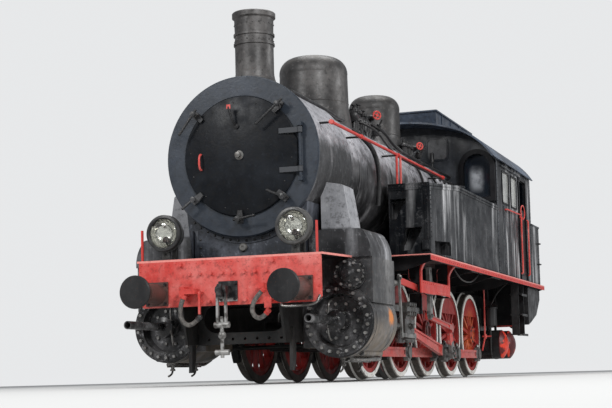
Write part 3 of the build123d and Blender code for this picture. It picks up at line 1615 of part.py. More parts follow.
# Brake gear: a shoe ahead of each wheel, its hanger, cross beams and pull rods
shoe_gap = 12
shoe_thickness = 70
shoe_x = (722, 812)
shoe_ahead = axle_spacing / 2
shoe_below = 250
shoe_half_angle = 16
beam_z = axle_z - shoe_below
hanger_top_z = 1150
pull_rod_x = 250
pull_rod_z = 420
shaft_y = 3440
shaft_z = 330
with BuildPart() as brake_gear:
    for axle_y in axle_ys:
        with BuildSketch(Plane.YZ.offset(shoe_x[0])) as shoe:
            with Locations((axle_y, axle_z)):
                Circle(tread_radius + shoe_gap + shoe_thickness)
                Circle(tread_radius + shoe_gap, mode=Mode.SUBTRACT)
                Polygon(
                    (0, 0),
                    *[
                        (-1200 * cos(radians(19 + turn)), -1200 * sin(radians(19 + turn)))
                        for turn in (-shoe_half_angle, shoe_half_angle)
                    ],
                    align=None,
                    mode=Mode.INTERSECT,
                )
        extrude(shoe.sketch, amount=shoe_x[1] - shoe_x[0])
        hang_y = axle_y - shoe_ahead
        hanger_foot_x = frame_x + frame_thickness / 2
        block((hanger_foot_x + 5, hanger_foot_x + 30), (hang_y - 30, hang_y + 30), (430, hanger_top_z))
        disc_x((hanger_foot_x, hanger_foot_x + 35), hang_y, hanger_top_z, 52)
        disc_x((0, shoe_x[1]), hang_y, beam_z, 28)
    block(
        (pull_rod_x - 15, pull_rod_x + 15),
        (axle_ys[0] - shoe_ahead, shaft_y),
        (pull_rod_z - 18, pull_rod_z + 18),
    )
    # Brake shaft with its levers, and the rod up to the brake cylinder
    disc_x((0, brake_x + 15), shaft_y, shaft_z, 30)
    block(
        (pull_rod_x - 20, pull_rod_x + 20),
        (shaft_y - 30, shaft_y + 30),
        (shaft_z, pull_rod_z + 40),
    )
    disc_z((shaft_z, brake_bottom), brake_x, shaft_y, 20)
    block(
        (frame_x - frame_thickness / 2 - 24, frame_x - frame_thickness / 2),
        (shaft_y - 40, shaft_y + 28),
        (shaft_z - 40, 880),
    )
    mirror(about=Plane.YZ)
brake_gear.part.label = "brake_gear"
export_step(brake_gear.part, "parts/brake_gear.step")

# Laminated springs behind the frame plates, each on its axlebox and hung at both ends
leaf_count = 6
leaf_thickness = 16
leaf_half_lengths = [470 - 70 * n for n in range(leaf_count)]
spring_top = 1020
spring_x = (515, frame_x - frame_thickness / 2)
with BuildPart() as springs:
    for axle_y in axle_ys:
        for n, half in enumerate(leaf_half_lengths):
            block(
                (spring_x[0], spring_x[1] - 10),
                (axle_y - half, axle_y + half),
                (spring_top - leaf_thickness * (n + 1), spring_top - leaf_thickness * n),
            )
        block(
            (spring_x[0] - 8, spring_x[1] - fit_gap),
            (axle_y - 50, axle_y + 50),
            (slot_top - 40, spring_top + 10),
        )
        for y in (axle_y - 440, axle_y + 440):
            block(
                (spring_x[0] + 15, spring_x[1] - 25),
                (y - 15, y + 15),
                (spring_top - 1, 1150),
            )
            block((spring_x[0], spring_x[1]), (y - 35, y + 35), (1120, 1180))
    mirror(about=Plane.YZ)
springs.part.label = "springs"
export_step(springs.part, "parts/springs.step")

# Brake hoses at the front: cocks on the beam, the hoses, and the heads that end them
hose_y = -5850
hose_radius = 26
cock_front = hose_y - 30
head_ball_out = 38
head_ball_radius = 34
# Hose routes in one upright plane, as x and z from the cock to the head
hose_routes = (
    (
        "brake_hose_right",
        ((-509, 985), (-561, 863), (-520, 714), (-411, 671), (-336, 743)),
    ),
    (
        "brake_hose_left",
        ((448, 1034), (363, 954), (318, 839), (352, 754), (435, 723), (490, 782)),
    ),
)
# Cocks, by pairs of x and z
cock_boxes = (
    ((-545, -480), (1005, 1120)),
    ((-480, -350), (1035, 1095)),
    ((415, 480), (1064, 1126)),
    ((380, 415), (1070, 1100)),
)
# Bars that hold up the ends of the hoses, by half width and top
holders = (
    (12, 1060),
    (40, 965),
)


def head_place(route):
    """Give the middle of the ball on a hose's head, and the head's direction."""
    (before_x, before_z), (head_x, head_z) = route[-2:]
    axis = Vector(head_x - before_x, 0, head_z - before_z).normalized()
    return Vector(head_x, hose_y, head_z) + axis * head_ball_out, axis


with BuildPart() as brake_cocks:
    for x, z in cock_boxes:
        block(x, (cock_front, -beam_face), z)
    for (label, route), (half, top) in zip(hose_routes, holders):
        # Collar that the hose starts from
        (start_x, start_z), (next_x, next_z) = route[:2]
        collar_plane = Plane(
            origin=(start_x, hose_y, start_z), z_dir=(start_x - next_x, 0, start_z - next_z)
        )
        with BuildSketch(collar_plane) as collar:
            Circle(hose_radius + 8)
        extrude(collar.sketch, amount=45)
        ball, axis = head_place(route)
        block(
            (ball.X - half, ball.X + half),
            (hose_y - 12, hose_y + 12),
            (ball.Z + head_ball_radius + fit_gap, top),
        )
        block((ball.X - half, ball.X + half), (hose_y - 12, -beam_face), (top - 25, top))
brake_cocks.part.label = "brake_cocks"
export_step(brake_cocks.part, "parts/brake_cocks.step")


def bend_radii(points):
    """Give the radius of each bend of a cord: nine twentieths of the shorter run beside it."""
    radii = []
    for before, here, after in zip(points, points[1:], points[2:]):
        first, last = Vector(*here) - Vector(*before), Vector(*after) - Vector(*here)
        half_turn = radians(first.get_angle(last)) / 2
        radii.append(round(0.45 * min(first.length, last.length) / tan(half_turn), 1))
    return radii


for label, route in hose_routes:
    points = [(x, hose_y, z) for x, z in route]
    radii = bend_radii(points)
    print(label, "bend radii", radii)
    with BuildPart() as brake_hose:
        with BuildLine() as hose_path:
            FilletPolyline(*points, radius=radii)
        with BuildSketch(Plane(origin=points[0], z_dir=hose_path.line % 0)) as hose_section:
            Circle(hose_radius)
        sweep(hose_section.sketch, path=hose_path.line)
    brake_hose.part.label = label
    export_step(brake_hose.part, f"parts/{label}.step")

with BuildPart() as hose_heads:
    for label, route in hose_routes:
        ball, axis = head_place(route)
        end = ball - axis * head_ball_out
        with BuildSketch(Plane(origin=end, z_dir=axis)) as head_outline:
            Circle(hose_radius + 6)
        extrude(head_outline.sketch, amount=head_ball_out)
        with Locations(ball):
            Sphere(head_ball_radius)
hose_heads.part.label = "hose_heads"
export_step(hose_heads.part, "parts/hose_heads.step")
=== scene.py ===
import math

import bmesh
import bpy
from mathutils import Matrix, Vector


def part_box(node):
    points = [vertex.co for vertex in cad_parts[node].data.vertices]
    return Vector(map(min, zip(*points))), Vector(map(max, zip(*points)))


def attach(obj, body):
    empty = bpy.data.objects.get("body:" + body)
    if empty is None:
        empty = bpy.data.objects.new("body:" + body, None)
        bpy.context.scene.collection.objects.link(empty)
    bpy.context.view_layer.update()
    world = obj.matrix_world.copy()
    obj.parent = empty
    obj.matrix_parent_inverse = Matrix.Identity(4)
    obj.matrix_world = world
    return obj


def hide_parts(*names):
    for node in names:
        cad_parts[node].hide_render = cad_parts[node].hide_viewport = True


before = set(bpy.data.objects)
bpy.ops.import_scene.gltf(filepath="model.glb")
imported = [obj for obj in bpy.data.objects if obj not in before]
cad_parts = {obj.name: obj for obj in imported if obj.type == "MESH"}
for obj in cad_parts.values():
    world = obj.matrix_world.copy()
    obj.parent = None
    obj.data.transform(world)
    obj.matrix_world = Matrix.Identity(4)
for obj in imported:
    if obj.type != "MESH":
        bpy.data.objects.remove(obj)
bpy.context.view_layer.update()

# Driving places, in metres, read from the frame
boiler_z = 2.659
door_front_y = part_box("smokebox_door")[0][1]
ring_front_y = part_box("smokebox")[1][1] - 1.304
beam_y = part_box("buffer_beams")[0][1]
beam_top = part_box("buffer_beams")[1][2]
beam_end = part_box("buffer_beams")[1][1]
saddle_face_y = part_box("smokebox_saddle")[0][1]
side_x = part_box("side_tanks")[1][0]
tank_front_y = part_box("side_tanks")[0][1]
tank_inner_x = 0.94
cab_front_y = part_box("cab_front")[0][1]
cab_rear_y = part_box("cab_rear")[1][1]
board_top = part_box("running_boards")[1][2]
rail_z = 3.04
rail_x = 1.0
barrel_radius = 0.86
chimney_y = -4.78
steam_dome_y = -2.614
sand_dome_y = 0.21
first_axle_y = -3.05
axle_spacing = 1.45
axle_z = 0.703
axle_ys = [first_axle_y + axle_spacing * number for number in range(5)]
crank_radius = 0.33
coupling_x = 0.915
main_rod_length = 2.15
cylinder_x = 1.075
cylinder_front_y = -5.05
cylinder_rear_y = -4.11
valve_x = 1.23
valve_z = 1.232
valve_front_y = -5.056
lamp_x = 0.79
lamp_z = 1.753
lamp_front_y = -5.741
buffer_x = 0.875
buffer_z = 1.055
sides = (("left", 1), ("right", -1))
signs = (1, -1)


# Camera, at the height and angle of the photograph
camera_place = Vector((6.228, -20.701, 0.066))
camera_heading = 0.308
camera_tilt = 0.087
camera_roll = -0.0269
camera_lens = 84.46
camera_shift = (-0.0745, 0.0765)


def stand_camera():
    """Place the camera by its heading, tilt and roll."""
    ahead = Vector(
        (
            -math.sin(camera_heading) * math.cos(camera_tilt),
            math.cos(camera_heading) * math.cos(camera_tilt),
            math.sin(camera_tilt),
        )
    )
    level = Vector((math.cos(camera_heading), math.sin(camera_heading), 0))
    upright = level.cross(ahead)
    right = level * math.cos(camera_roll) + upright * math.sin(camera_roll)
    up = upright * math.cos(camera_roll) - level * math.sin(camera_roll)
    camera = bpy.data.cameras.new("camera")
    camera.lens = camera_lens
    camera.sensor_width = 36
    camera.shift_x, camera.shift_y = camera_shift
    camera.clip_end = 300
    holder = bpy.data.objects.new("camera", camera)
    bpy.context.collection.objects.link(holder)
    turn = Matrix((right, up, -ahead)).transposed()
    holder.matrix_world = Matrix.Translation(camera_place) @ turn.to_4x4()
    bpy.context.scene.camera = holder


stand_camera()


# Finishes
class Finish:
    """A material under way, with a call for each kind of node that the paintwork needs."""

    def __init__(self, name, metallic=0.0, specular=0.5):
        self.material = bpy.data.materials.new(name)
        self.material.use_nodes = True
        self.nodes = self.material.node_tree.nodes
        self.links = self.material.node_tree.links
        self.shader = self.nodes["Principled BSDF"]
        self.shader.inputs["Metallic"].default_value = metallic
        self.shader.inputs["Specular IOR Level"].default_value = specular
        self.place = self.nodes.new("ShaderNodeTexCoord").outputs["Object"]
        self.facing = self.nodes.new("ShaderNodeSeparateXYZ")
        self.links.new(self.nodes.new("ShaderNodeNewGeometry").outputs["Normal"], self.facing.inputs[0])
        self.spot = self.nodes.new("ShaderNodeSeparateXYZ")
        self.links.new(self.place, self.spot.inputs[0])

    def put(self, socket, value):
        """Set an input to a number or colour, or link it to another node's output."""
        if isinstance(value, bpy.types.NodeSocket):
            self.links.new(value, socket)
        else:
            socket.default_value = value

    def noise(self, scale, stretch=(1, 1, 1), detail=4.0, rough=0.55, shift=(0, 0, 0)):
        """Give the strength of a noise pattern, stretched along an axis where stretch is small."""
        mapping = self.nodes.new("ShaderNodeMapping")
        mapping.inputs["Scale"].default_value = stretch
        mapping.inputs["Location"].default_value = shift
        self.links.new(self.place, mapping.inputs["Vector"])
        pattern = self.nodes.new("ShaderNodeTexNoise")
        self.links.new(mapping.outputs[0], pattern.inputs["Vector"])
        pattern.inputs["Scale"].default_value = scale
        pattern.inputs["Detail"].default_value = detail
        pattern.inputs["Roughness"].default_value = rough
        return pattern.outputs["Fac"]

    def span(self, value, low, high, to=(0.0, 1.0)):
        """Stretch the part of a value between two limits to a range, smoothly."""
        limits = self.nodes.new("ShaderNodeMapRange")
        limits.interpolation_type = "SMOOTHSTEP"
        self.put(limits.inputs["Value"], value)
        limits.inputs["From Min"].default_value = low
        limits.inputs["From Max"].default_value = high
        limits.inputs["To Min"].default_value = to[0]
        limits.inputs["To Max"].default_value = to[1]
        return limits.outputs["Result"]

    def maths(self, operation, first, second=0.0):
        """Combine two values."""
        sum_up = self.nodes.new("ShaderNodeMath")
        sum_up.operation = operation
        self.put(sum_up.inputs[0], first)
        self.put(sum_up.inputs[1], second)
        return sum_up.outputs[0]

    def times(self, *values):
        """Multiply several values."""
        result = values[0]
        for value in values[1:]:
            result = self.maths("MULTIPLY", result, value)
        return result

    def rest(self, value):
        """Give what a share leaves over."""
        return self.maths("SUBTRACT", 1.0, value)

    def outward(self, axis):
        """Give how far a face looks along an axis, either way."""
        return self.maths("ABSOLUTE", self.facing.outputs[axis])

    def along(self, axis):
        """Give the place along an axis."""
        return self.spot.outputs[axis]

    def far(self, axis):
        """Give the distance from the middle along an axis."""
        return self.maths("ABSOLUTE", self.spot.outputs[axis])

    def distance(self, point):
        """Give the distance from a point."""
        measure = self.nodes.new("ShaderNodeVectorMath")
        measure.operation = "DISTANCE"
        self.links.new(self.place, measure.inputs[0])
        measure.inputs[1].default_value = point
        return measure.outputs["Value"]

    def blend(self, share, first, second):
        """Mix two colours by a share of the second."""
        mixer = self.nodes.new("ShaderNodeMix")
        mixer.data_type = "RGBA"
        self.put(mixer.inputs["Factor"], share)
        for socket, colour in ((mixer.inputs["A"], first), (mixer.inputs["B"], second)):
            self.put(socket, colour if isinstance(colour, bpy.types.NodeSocket) else (*colour, 1.0))
        return mixer.outputs["Result"]

    def upward(self, low=0.25, high=0.95):
        """Give how far a face looks up."""
        return self.span(self.facing.outputs["Z"], low, high)

    def bump(self, height, depth, strength=0.5):
        """Raise the surface by a pattern."""
        relief = self.nodes.new("ShaderNodeBump")
        relief.inputs["Distance"].default_value = depth
        relief.inputs["Strength"].default_value = strength
        self.put(relief.inputs["Height"], height)
        self.links.new(relief.outputs[0], self.shader.inputs["Normal"])

    def brush_marks(self):
        """Raise the marks of old brushed paint."""
        self.bump(self.noise(30.0, detail=5.0), 0.004, 0.3)

    def done(self, colour, roughness):
        """Give the finished material."""
        self.put(self.shader.inputs["Base Color"], colour)
        self.put(self.shader.inputs["Roughness"], roughness)
        return self.material


soot = (0.007, 0.007, 0.008)
worn_grey = (0.10, 0.10, 0.10)
dust = (0.10, 0.088, 0.072)
rust = (0.12, 0.042, 0.018)
grime = (0.012, 0.011, 0.010)
beam_red = (0.56, 0.045, 0.036)
wheel_red = (0.34, 0.016, 0.013)
steel = (0.17, 0.167, 0.16)
bright_steel = (0.22, 0.215, 0.205)
dark_oil = (0.05, 0.046, 0.042)
painted_highlight_red = (0.78, 0.27, 0.235)
rubbed_red = (0.45, 0.36, 0.32)
tyre_white = (0.72, 0.71, 0.67)
orange_glow = (0.60, 0.13, 0.045)
rust_burst = (0.62, 0.2, 0.035)


def weather(paint, base, worn, streaks, dusting, patchy=0.2, flecks=0.3, mottle=0.3):
    """Give a colour with washed-out patches, runs, mottling, settled dust and flecks of rust."""
    patches = paint.span(paint.noise(1.3, detail=5.0), 0.45, 0.7)
    settling = paint.span(paint.noise(6.0, shift=(3, 1, 7)), 0.4, 0.75)
    runs = paint.span(paint.noise(2.0, stretch=(1.5, 1.5, 0.13), detail=6.0, rough=0.6), 0.49, 0.68)
    fine_runs = paint.span(paint.noise(15.0, stretch=(1.3, 1.3, 0.05), shift=(5, 2, 0)), 0.55, 0.78)
    fading = paint.span(paint.noise(1.9, stretch=(1, 1, 0.6), shift=(8, 3, 5)), 0.34, 0.56)
    streaks = paint.times(paint.rest(paint.times(paint.outward("Y"), 0.6)), streaks)
    upright = paint.rest(paint.upward(0.3, 0.8))
    run_share = paint.maths("ADD", paint.times(runs, fading), paint.times(fine_runs, 0.22))
    run_share = paint.times(run_share, streaks, upright)
    tone = paint.blend(paint.times(patches, patchy), base, worn)
    tone = paint.blend(paint.maths("MINIMUM", run_share, 0.9), tone, worn)
    grain = paint.noise(16.0, detail=9.0, rough=0.72, shift=(6, 6, 2))
    tone = paint.blend(paint.times(paint.span(grain, 0.54, 0.7), mottle), tone, worn)
    tone = paint.blend(paint.times(paint.span(grain, 0.5, 0.34), mottle, 1.6), tone, grime)
    tone = paint.blend(paint.times(paint.upward(), settling, dusting), tone, dust)
    specks = paint.span(paint.noise(60.0, detail=2.0, shift=(2, 9, 4)), 0.66, 0.72)
    return paint.blend(paint.times(specks, flecks), tone, rust)


def gloss_of(paint, low=0.28, high=0.55):
    """Give paint's roughness, glossier in patches."""
    return paint.span(paint.noise(7.0, shift=(1, 1, 1)), 0.3, 0.75, (low, high))


def old_paint(
    name, base, worn, streaks, dusting, gloss=(0.28, 0.55), patchy=0.2, flecks=0.3, mottle=0.3, shine=0.35
):
    """Give weathered paint of one colour."""
    paint = Finish(name, specular=shine)
    tone = weather(paint, base, worn, streaks, dusting, patchy, flecks, mottle)
    paint.brush_marks()
    return paint.done(tone, gloss_of(paint, *gloss))


def between(paint, value, low, high):
    """Give one where a value lies between two limits, and nothing elsewhere."""
    return paint.times(paint.maths("GREATER_THAN", value, low), paint.maths("LESS_THAN", value, high))


def two_tone(name, choose, first=soot, second=beam_red, lit=None):
    """Give weathered paint of two colours, the second chosen by place and lightened between two heights as
    a painted highlight.
    """
    paint = Finish(name, specular=0.3)
    # Painted highlight: between the two heights the second colour turns pale red, where the top of an edge
    # catches the light.
    if lit is not None:
        second = paint.blend(between(paint, paint.along("Z"), *lit), second, painted_highlight_red)
    base = paint.blend(choose(paint), first, second)
    tone = weather(
        paint, base, worn_grey, streaks=0.2, dusting=0.15, patchy=0.12, flecks=0.35, mottle=0.14
    )
    paint.brush_marks()
    return paint.done(tone, gloss_of(paint, 0.3, 0.6))


def board_edges(paint):
    """Choose the edges of the running board and of its front end."""
    outer = paint.times(paint.span(paint.outward("X"), 0.5, 0.7), paint.span(paint.far("X"), 1.495, 1.505))
    front = paint.times(
        paint.span(paint.outward("Y"), 0.5, 0.7),
        paint.span(paint.along("Z"), board_top - 0.018, board_top - 0.014),
    )
    return paint.maths("MAXIMUM", outer, front)


def deck_edges(paint):
    """Choose the deck's upright edges and the lamp irons on it."""
    edges = paint.span(paint.outward("Z"), 0.7, 0.5)
    irons = paint.span(paint.along("Z"), beam_top + 0.028, beam_top + 0.032)
    return paint.maths("MAXIMUM", edges, irons)


def buffer_shanks(paint):
    """Choose the buffers' shanks between beam and head."""
    return paint.times(paint.span(paint.far("Y"), 5.735, 5.745), paint.span(paint.far("Y"), 6.262, 6.255))


def reservoir_ends(paint):
    """Choose the domed ends of the air reservoirs."""
    return paint.span(paint.far("X"), 1.125, 1.135)


def bracket_edges(paint):
    """Choose the flanges and the lengthwise plate of the motion brackets."""
    outer = paint.span(paint.far("X"), 1.309, 1.313)
    cross_edge = paint.span(paint.outward("Y"), 0.7, 0.5)
    high = paint.span(paint.along("Z"), 1.14, 1.15)
    return paint.times(paint.maths("MAXIMUM", outer, cross_edge), high)


def bare_metal(name, colour, oil, gloss=(0.25, 0.5), metallic=0.85):
    """Give worn machined metal with oil and dirt in patches."""
    metal = Finish(name, metallic=metallic)
    oily = metal.span(metal.noise(7.0), 0.42, 0.68)
    fine = metal.span(metal.noise(45.0, shift=(4, 4, 1)), 0.5, 0.75)
    tone = metal.blend(metal.times(oily, 0.8), colour, oil)
    tone = metal.blend(metal.times(fine, 0.3), tone, rust)
    metal.bump(metal.noise(60.0, detail=3.0), 0.002, 0.3)
    return metal.done(tone, metal.span(oily, 0.0, 1.0, gloss))


def tyre_finish(name):
    """Give the tyres their painted outer faces, worn to steel on tread and flange."""
    metal = Finish(name)
    own_side = metal.maths("SIGN", metal.along("X"))
    outward = metal.maths("MULTIPLY", metal.facing.outputs["X"], own_side)
    face = metal.span(outward, 0.6, 0.9)
    chipped = metal.span(metal.noise(13.0, detail=6.0), 0.54, 0.66)
    chips = metal.times(face, metal.rest(metal.times(chipped, 0.6)))
    worn = metal.blend(metal.span(metal.noise(20.0), 0.4, 0.7), (0.09, 0.075, 0.062), (0.035, 0.03, 0.026))
    tone = metal.blend(chips, worn, tyre_white)
    metal.bump(metal.noise(50.0), 0.002, 0.3)
    return metal.done(tone, 0.5)


def wheel_finish(name, axle_y):
    """Give a wheel centre its red paint, oily round the hub and black on the axle."""
    paint = Finish(name)
    across = paint.nodes.new("ShaderNodeCombineXYZ")
    paint.links.new(paint.along("Y"), across.inputs["Y"])
    paint.links.new(paint.along("Z"), across.inputs["Z"])
    measure = paint.nodes.new("ShaderNodeVectorMath")
    measure.operation = "DISTANCE"
    paint.links.new(across.outputs[0], measure.inputs[0])
    measure.inputs[1].default_value = (0, axle_y, axle_z)
    from_axle = measure.outputs["Value"]
    thrown = paint.span(paint.noise(5.0, shift=(7, 3, 1)), 0.35, 0.75)
    oily = paint.maths("MAXIMUM", paint.span(from_axle, 0.22, 0.1), paint.times(thrown, 0.5))
    tone = weather(paint, wheel_red, (0.26, 0.05, 0.04), streaks=0.25, dusting=0.25, flecks=0.45)
    if axle_y == axle_ys[-1]:
        cloud = paint.span(paint.noise(3.0, shift=(2, 2, 9)), 0.4, 0.6)
        glow = paint.times(paint.span(from_axle, 0.5, 0.2), cloud)
        tone = paint.blend(glow, tone, orange_glow)
        oily = paint.times(oily, 0.3)
    tone = paint.blend(paint.times(oily, 0.75), tone, grime)
    pins = paint.span(paint.far("X"), 0.872, 0.876)
    tone = paint.blend(pins, tone, (0.10, 0.097, 0.092))
    tone = paint.blend(paint.span(paint.far("X"), 0.66, 0.64), tone, grime)
    paint.bump(paint.noise(35.0, detail=5.0), 0.004, 0.35)
    return paint.done(tone, gloss_of(paint, 0.35, 0.65))


def rod_finish(name, ends, reach):
    """Give a rod red paint between its ends, which are bare oily steel."""
    paint = Finish(name, metallic=0.15)
    nearest = paint.distance(ends[0])
    for end in ends[1:]:
        nearest = paint.maths("MINIMUM", nearest, paint.distance(end))
    bare = paint.span(nearest, reach + 0.02, reach)
    rubbed = paint.span(paint.noise(11.0, detail=6.0, shift=(0, 3, 3)), 0.56, 0.7)
    tone = weather(paint, beam_red, (0.5, 0.42, 0.38), streaks=0.2, dusting=0.1, flecks=0.3)
    tone = paint.blend(paint.times(rubbed, 0.6), tone, (0.42, 0.34, 0.3))
    metal = paint.blend(paint.span(paint.noise(9.0), 0.4, 0.7), (0.17, 0.165, 0.16), grime)
    tone = paint.blend(bare, tone, metal)
    paint.bump(paint.noise(40.0), 0.003, 0.3)
    return paint.done(tone, gloss_of(paint, 0.3, 0.55))


def door_finish(name):
    """Give the smokebox door near-black paint with paler strap hinges."""
    paint = Finish(name, specular=0.14)
    tone = weather(
        paint,
        (0.005, 0.006, 0.008),
        (0.030, 0.035, 0.044),
        streaks=0.3,
        dusting=0.1,
        patchy=0.25,
        flecks=0.05,
        mottle=0.3,
    )
    half_strap = 0.031
    for up in (0.25, -0.205):
        strap_z = boiler_z + up
        high_enough = between(paint, paint.along("Z"), strap_z - half_strap, strap_z + half_strap)
        far_enough = between(paint, paint.along("X"), 0.488, 0.80)
        strap = paint.times(high_enough, far_enough)
        tone = paint.blend(paint.times(strap, 0.75), tone, (0.075, 0.078, 0.085))
    paint.brush_marks()
    return paint.done(tone, gloss_of(paint, 0.3, 0.5))


def casing_finish(name):
    """Give the cylinder casings dark streaked paint, paler above about 1.8 m on the pipe covers."""
    paint = Finish(name, specular=0.3)
    dark = weather(
        paint, (0.02, 0.02, 0.022), (0.42, 0.42, 0.44), streaks=1.0, dusting=0.3, patchy=0.25, mottle=0.25
    )
    pale = weather(
        paint, (0.28, 0.283, 0.30), (0.58, 0.58, 0.60), streaks=0.5, dusting=0.1, patchy=0.5, mottle=0.35
    )
    # The casing turns pale above about 1.8 m.
    upper = paint.span(paint.along("Z"), 1.78, 1.82)
    paint.brush_marks()
    return paint.done(paint.blend(upper, dark, pale), gloss_of(paint))


def coupling_finish(name):
    """Give the draw hooks oily black and the screw couplings' links bright steel."""
    metal = Finish(name, metallic=0.4)
    links = metal.span(metal.along("Z"), 0.99, 0.95)
    worn = metal.span(metal.noise(14.0, detail=6.0), 0.42, 0.66)
    steel_tone = metal.blend(worn, (0.34, 0.335, 0.325), (0.07, 0.065, 0.06))
    black_tone = metal.blend(metal.times(worn, 0.3), (0.012, 0.012, 0.013), (0.2, 0.195, 0.19))
    metal.bump(metal.noise(60.0, detail=3.0), 0.002, 0.3)
    return metal.done(metal.blend(links, black_tone, steel_tone), 0.45)


def boiler_rails(paint):
    """Choose the boiler hand rails, apart from the arms that carry them."""
    return paint.span(paint.far("X"), 0.966, 0.972)


def shell_finish(name):
    """Give the boiler's plating a pale upper half, which is a painted sheen of the sky, a dark lower one,
    and a dark front ring with a painted grey-blue sheen.
    """
    paint = Finish(name, specular=0.35)
    dark = weather(
        paint, (0.010, 0.010, 0.011), (0.30, 0.295, 0.305), streaks=0.8, dusting=0.3, patchy=0.2, mottle=0.3
    )
    pale = weather(
        paint, (0.30, 0.30, 0.322), (0.66, 0.65, 0.68), streaks=0.4, dusting=0.2, patchy=0.6, mottle=0.5
    )
    # Above a ragged line near the top, the pale tone is a painted sheen of the sky, weathered like the
    # paint below.
    ragged = paint.maths("ADD", paint.along("Z"), paint.times(paint.noise(4.0, detail=6.0), 0.5))
    tone = paint.blend(paint.span(ragged, 2.98, 3.28), dark, pale)
    # The front ring's grey-blue tone is a painted sheen on near-black paint.
    ring = paint.span(paint.along("Y"), -5.196, -5.20)
    painted_ring_sheen = weather(
        paint,
        (0.022, 0.028, 0.038),
        (0.06, 0.072, 0.095),
        streaks=0.4,
        dusting=0.1,
        patchy=0.3,
        flecks=0.05,
        mottle=0.25,
    )
    tone = paint.blend(ring, tone, painted_ring_sheen)
    paint.brush_marks()
    return paint.done(tone, gloss_of(paint, 0.28, 0.5))


def reservoir_finish(name):
    """Give the air reservoirs black shells and red ends, painted dark red as shade with bright patches of
    painted light.
    """
    paint = Finish(name, specular=0.4)
    # Painted light and shade on the domed red ends: mostly dark red, with bright red patches that stand for
    # lit areas.
    painted_light_patches = paint.span(paint.noise(2.6, detail=5.0, shift=(4, 2, 6)), 0.46, 0.50)
    red = paint.blend(painted_light_patches, (0.10, 0.008, 0.008), (0.72, 0.045, 0.018))
    shell = weather(paint, soot, worn_grey, streaks=0.3, dusting=0.2)
    paint.brush_marks()
    return paint.done(paint.blend(reservoir_ends(paint), shell, red), gloss_of(paint, 0.28, 0.5))


def jacket_finish(name):
    """Give the cylinders black cladding, dusty below, with a burst of bright rust on the left side."""
    paint = Finish(name)
    tone = weather(
        paint,
        (0.022, 0.022, 0.024),
        (0.30, 0.295, 0.29),
        streaks=0.75,
        dusting=0.2,
        patchy=0.35,
        flecks=0.6,
        mottle=0.4,
    )
    flanks = paint.span(paint.outward("Y"), 0.7, 0.4)
    low = paint.times(paint.span(paint.along("Z"), 0.82, 0.50), flanks)
    cloud = paint.span(paint.noise(5.0, detail=6.0, shift=(1, 5, 2)), 0.3, 0.62)
    tone = paint.blend(paint.times(low, cloud, 0.85), tone, (0.19, 0.15, 0.11))
    burst_place = (1.49, -4.34, 0.74)
    wander = paint.times(paint.noise(9.0, detail=6.0), 0.16)
    ragged = paint.maths("ADD", paint.distance(burst_place), wander)
    tone = paint.blend(paint.span(ragged, 0.205, 0.13), tone, rust_burst)
    paint.bump(paint.noise(22.0, detail=6.0), 0.006, 0.4)
    return paint.done(tone, gloss_of(paint, 0.35, 0.65))


def gear_finish(name):
    """Give the valve gear bare steel with the red eccentric and radius rods."""
    paint = Finish(name, metallic=0.3)
    thin = paint.span(paint.far("X"), 1.2574, 1.2566)
    behind = paint.span(paint.along("Y"), -3.14, -3.10)
    red = paint.times(thin, behind)
    oily = paint.span(paint.noise(8.0), 0.42, 0.68)
    bare = paint.blend(paint.times(oily, 0.85), bright_steel, grime)
    rubbed = paint.span(paint.noise(11.0, detail=6.0), 0.56, 0.7)
    painted = paint.blend(paint.times(rubbed, 0.5), beam_red, rubbed_red)
    paint.bump(paint.noise(50.0), 0.002, 0.3)
    return paint.done(paint.blend(red, bare, painted), 0.42)


def window_glass(name):
    """Give old flat glass: dark, with a painted pale reflection on the front panes and painted pale light
    of the sky seen through the side panes.
    """
    glass = Finish(name, specular=0.7)
    glass.shader.inputs["Transmission Weight"].default_value = 0.35
    glass.shader.inputs["IOR"].default_value = 1.45
    # The pale patch on the front panes is a painted reflection.
    across = glass.maths("ABSOLUTE", glass.maths("SUBTRACT", glass.far("X"), 1.17))
    height = glass.maths("ABSOLUTE", glass.maths("SUBTRACT", glass.along("Z"), 3.2))
    painted_reflection = glass.times(glass.span(across, 0.15, 0.03), glass.span(height, 0.26, 0.05))
    painted_reflection = glass.times(painted_reflection, glass.span(glass.noise(7.0, detail=3.0), 0.3, 0.6, (0.35, 0.95)))
    front = glass.blend(painted_reflection, (0.012, 0.018, 0.028), (0.62, 0.64, 0.68))
    # The pale side panes are painted light of the sky seen through them.
    painted_sky_light = glass.blend(glass.span(glass.noise(5.0), 0.35, 0.7), (0.66, 0.66, 0.62), (0.36, 0.37, 0.36))
    sides = glass.span(glass.far("X"), 1.43, 1.44)
    return glass.done(glass.blend(sides, front, painted_sky_light), 0.08)


def lens_glass(name):
    """Give the lamps' thick clear glass."""
    glass = Finish(name, specular=0.5)
    glass.shader.inputs["Transmission Weight"].default_value = 1.0
    glass.shader.inputs["IOR"].default_value = 1.3
    return glass.done((0.93, 0.95, 0.94, 1.0), glass.span(glass.noise(4.0), 0.3, 0.8, (0.01, 0.08)))


def silvered(name):
    """Give the lamps' dulled silver reflectors."""
    metal = Finish(name, metallic=0.75)
    stain = metal.span(metal.noise(9.0, detail=5.0), 0.45, 0.75)
    tone = metal.blend(metal.times(stain, 0.8), (0.66, 0.64, 0.59), (0.26, 0.25, 0.22))
    return metal.done(tone, metal.span(stain, 0.0, 1.0, (0.12, 0.3)))


def hose_rubber(name):
    """Give the hoses grey weathered rubber with faint canvas rings."""
    rubber = Finish(name, specular=0.3)
    worn = rubber.span(rubber.noise(24.0, detail=6.0), 0.35, 0.7)
    tone = rubber.blend(worn, (0.075, 0.07, 0.066), (0.20, 0.185, 0.17))
    rubber.bump(rubber.noise(90.0, detail=3.0), 0.002, 0.5)
    return rubber.done(tone, 0.75)


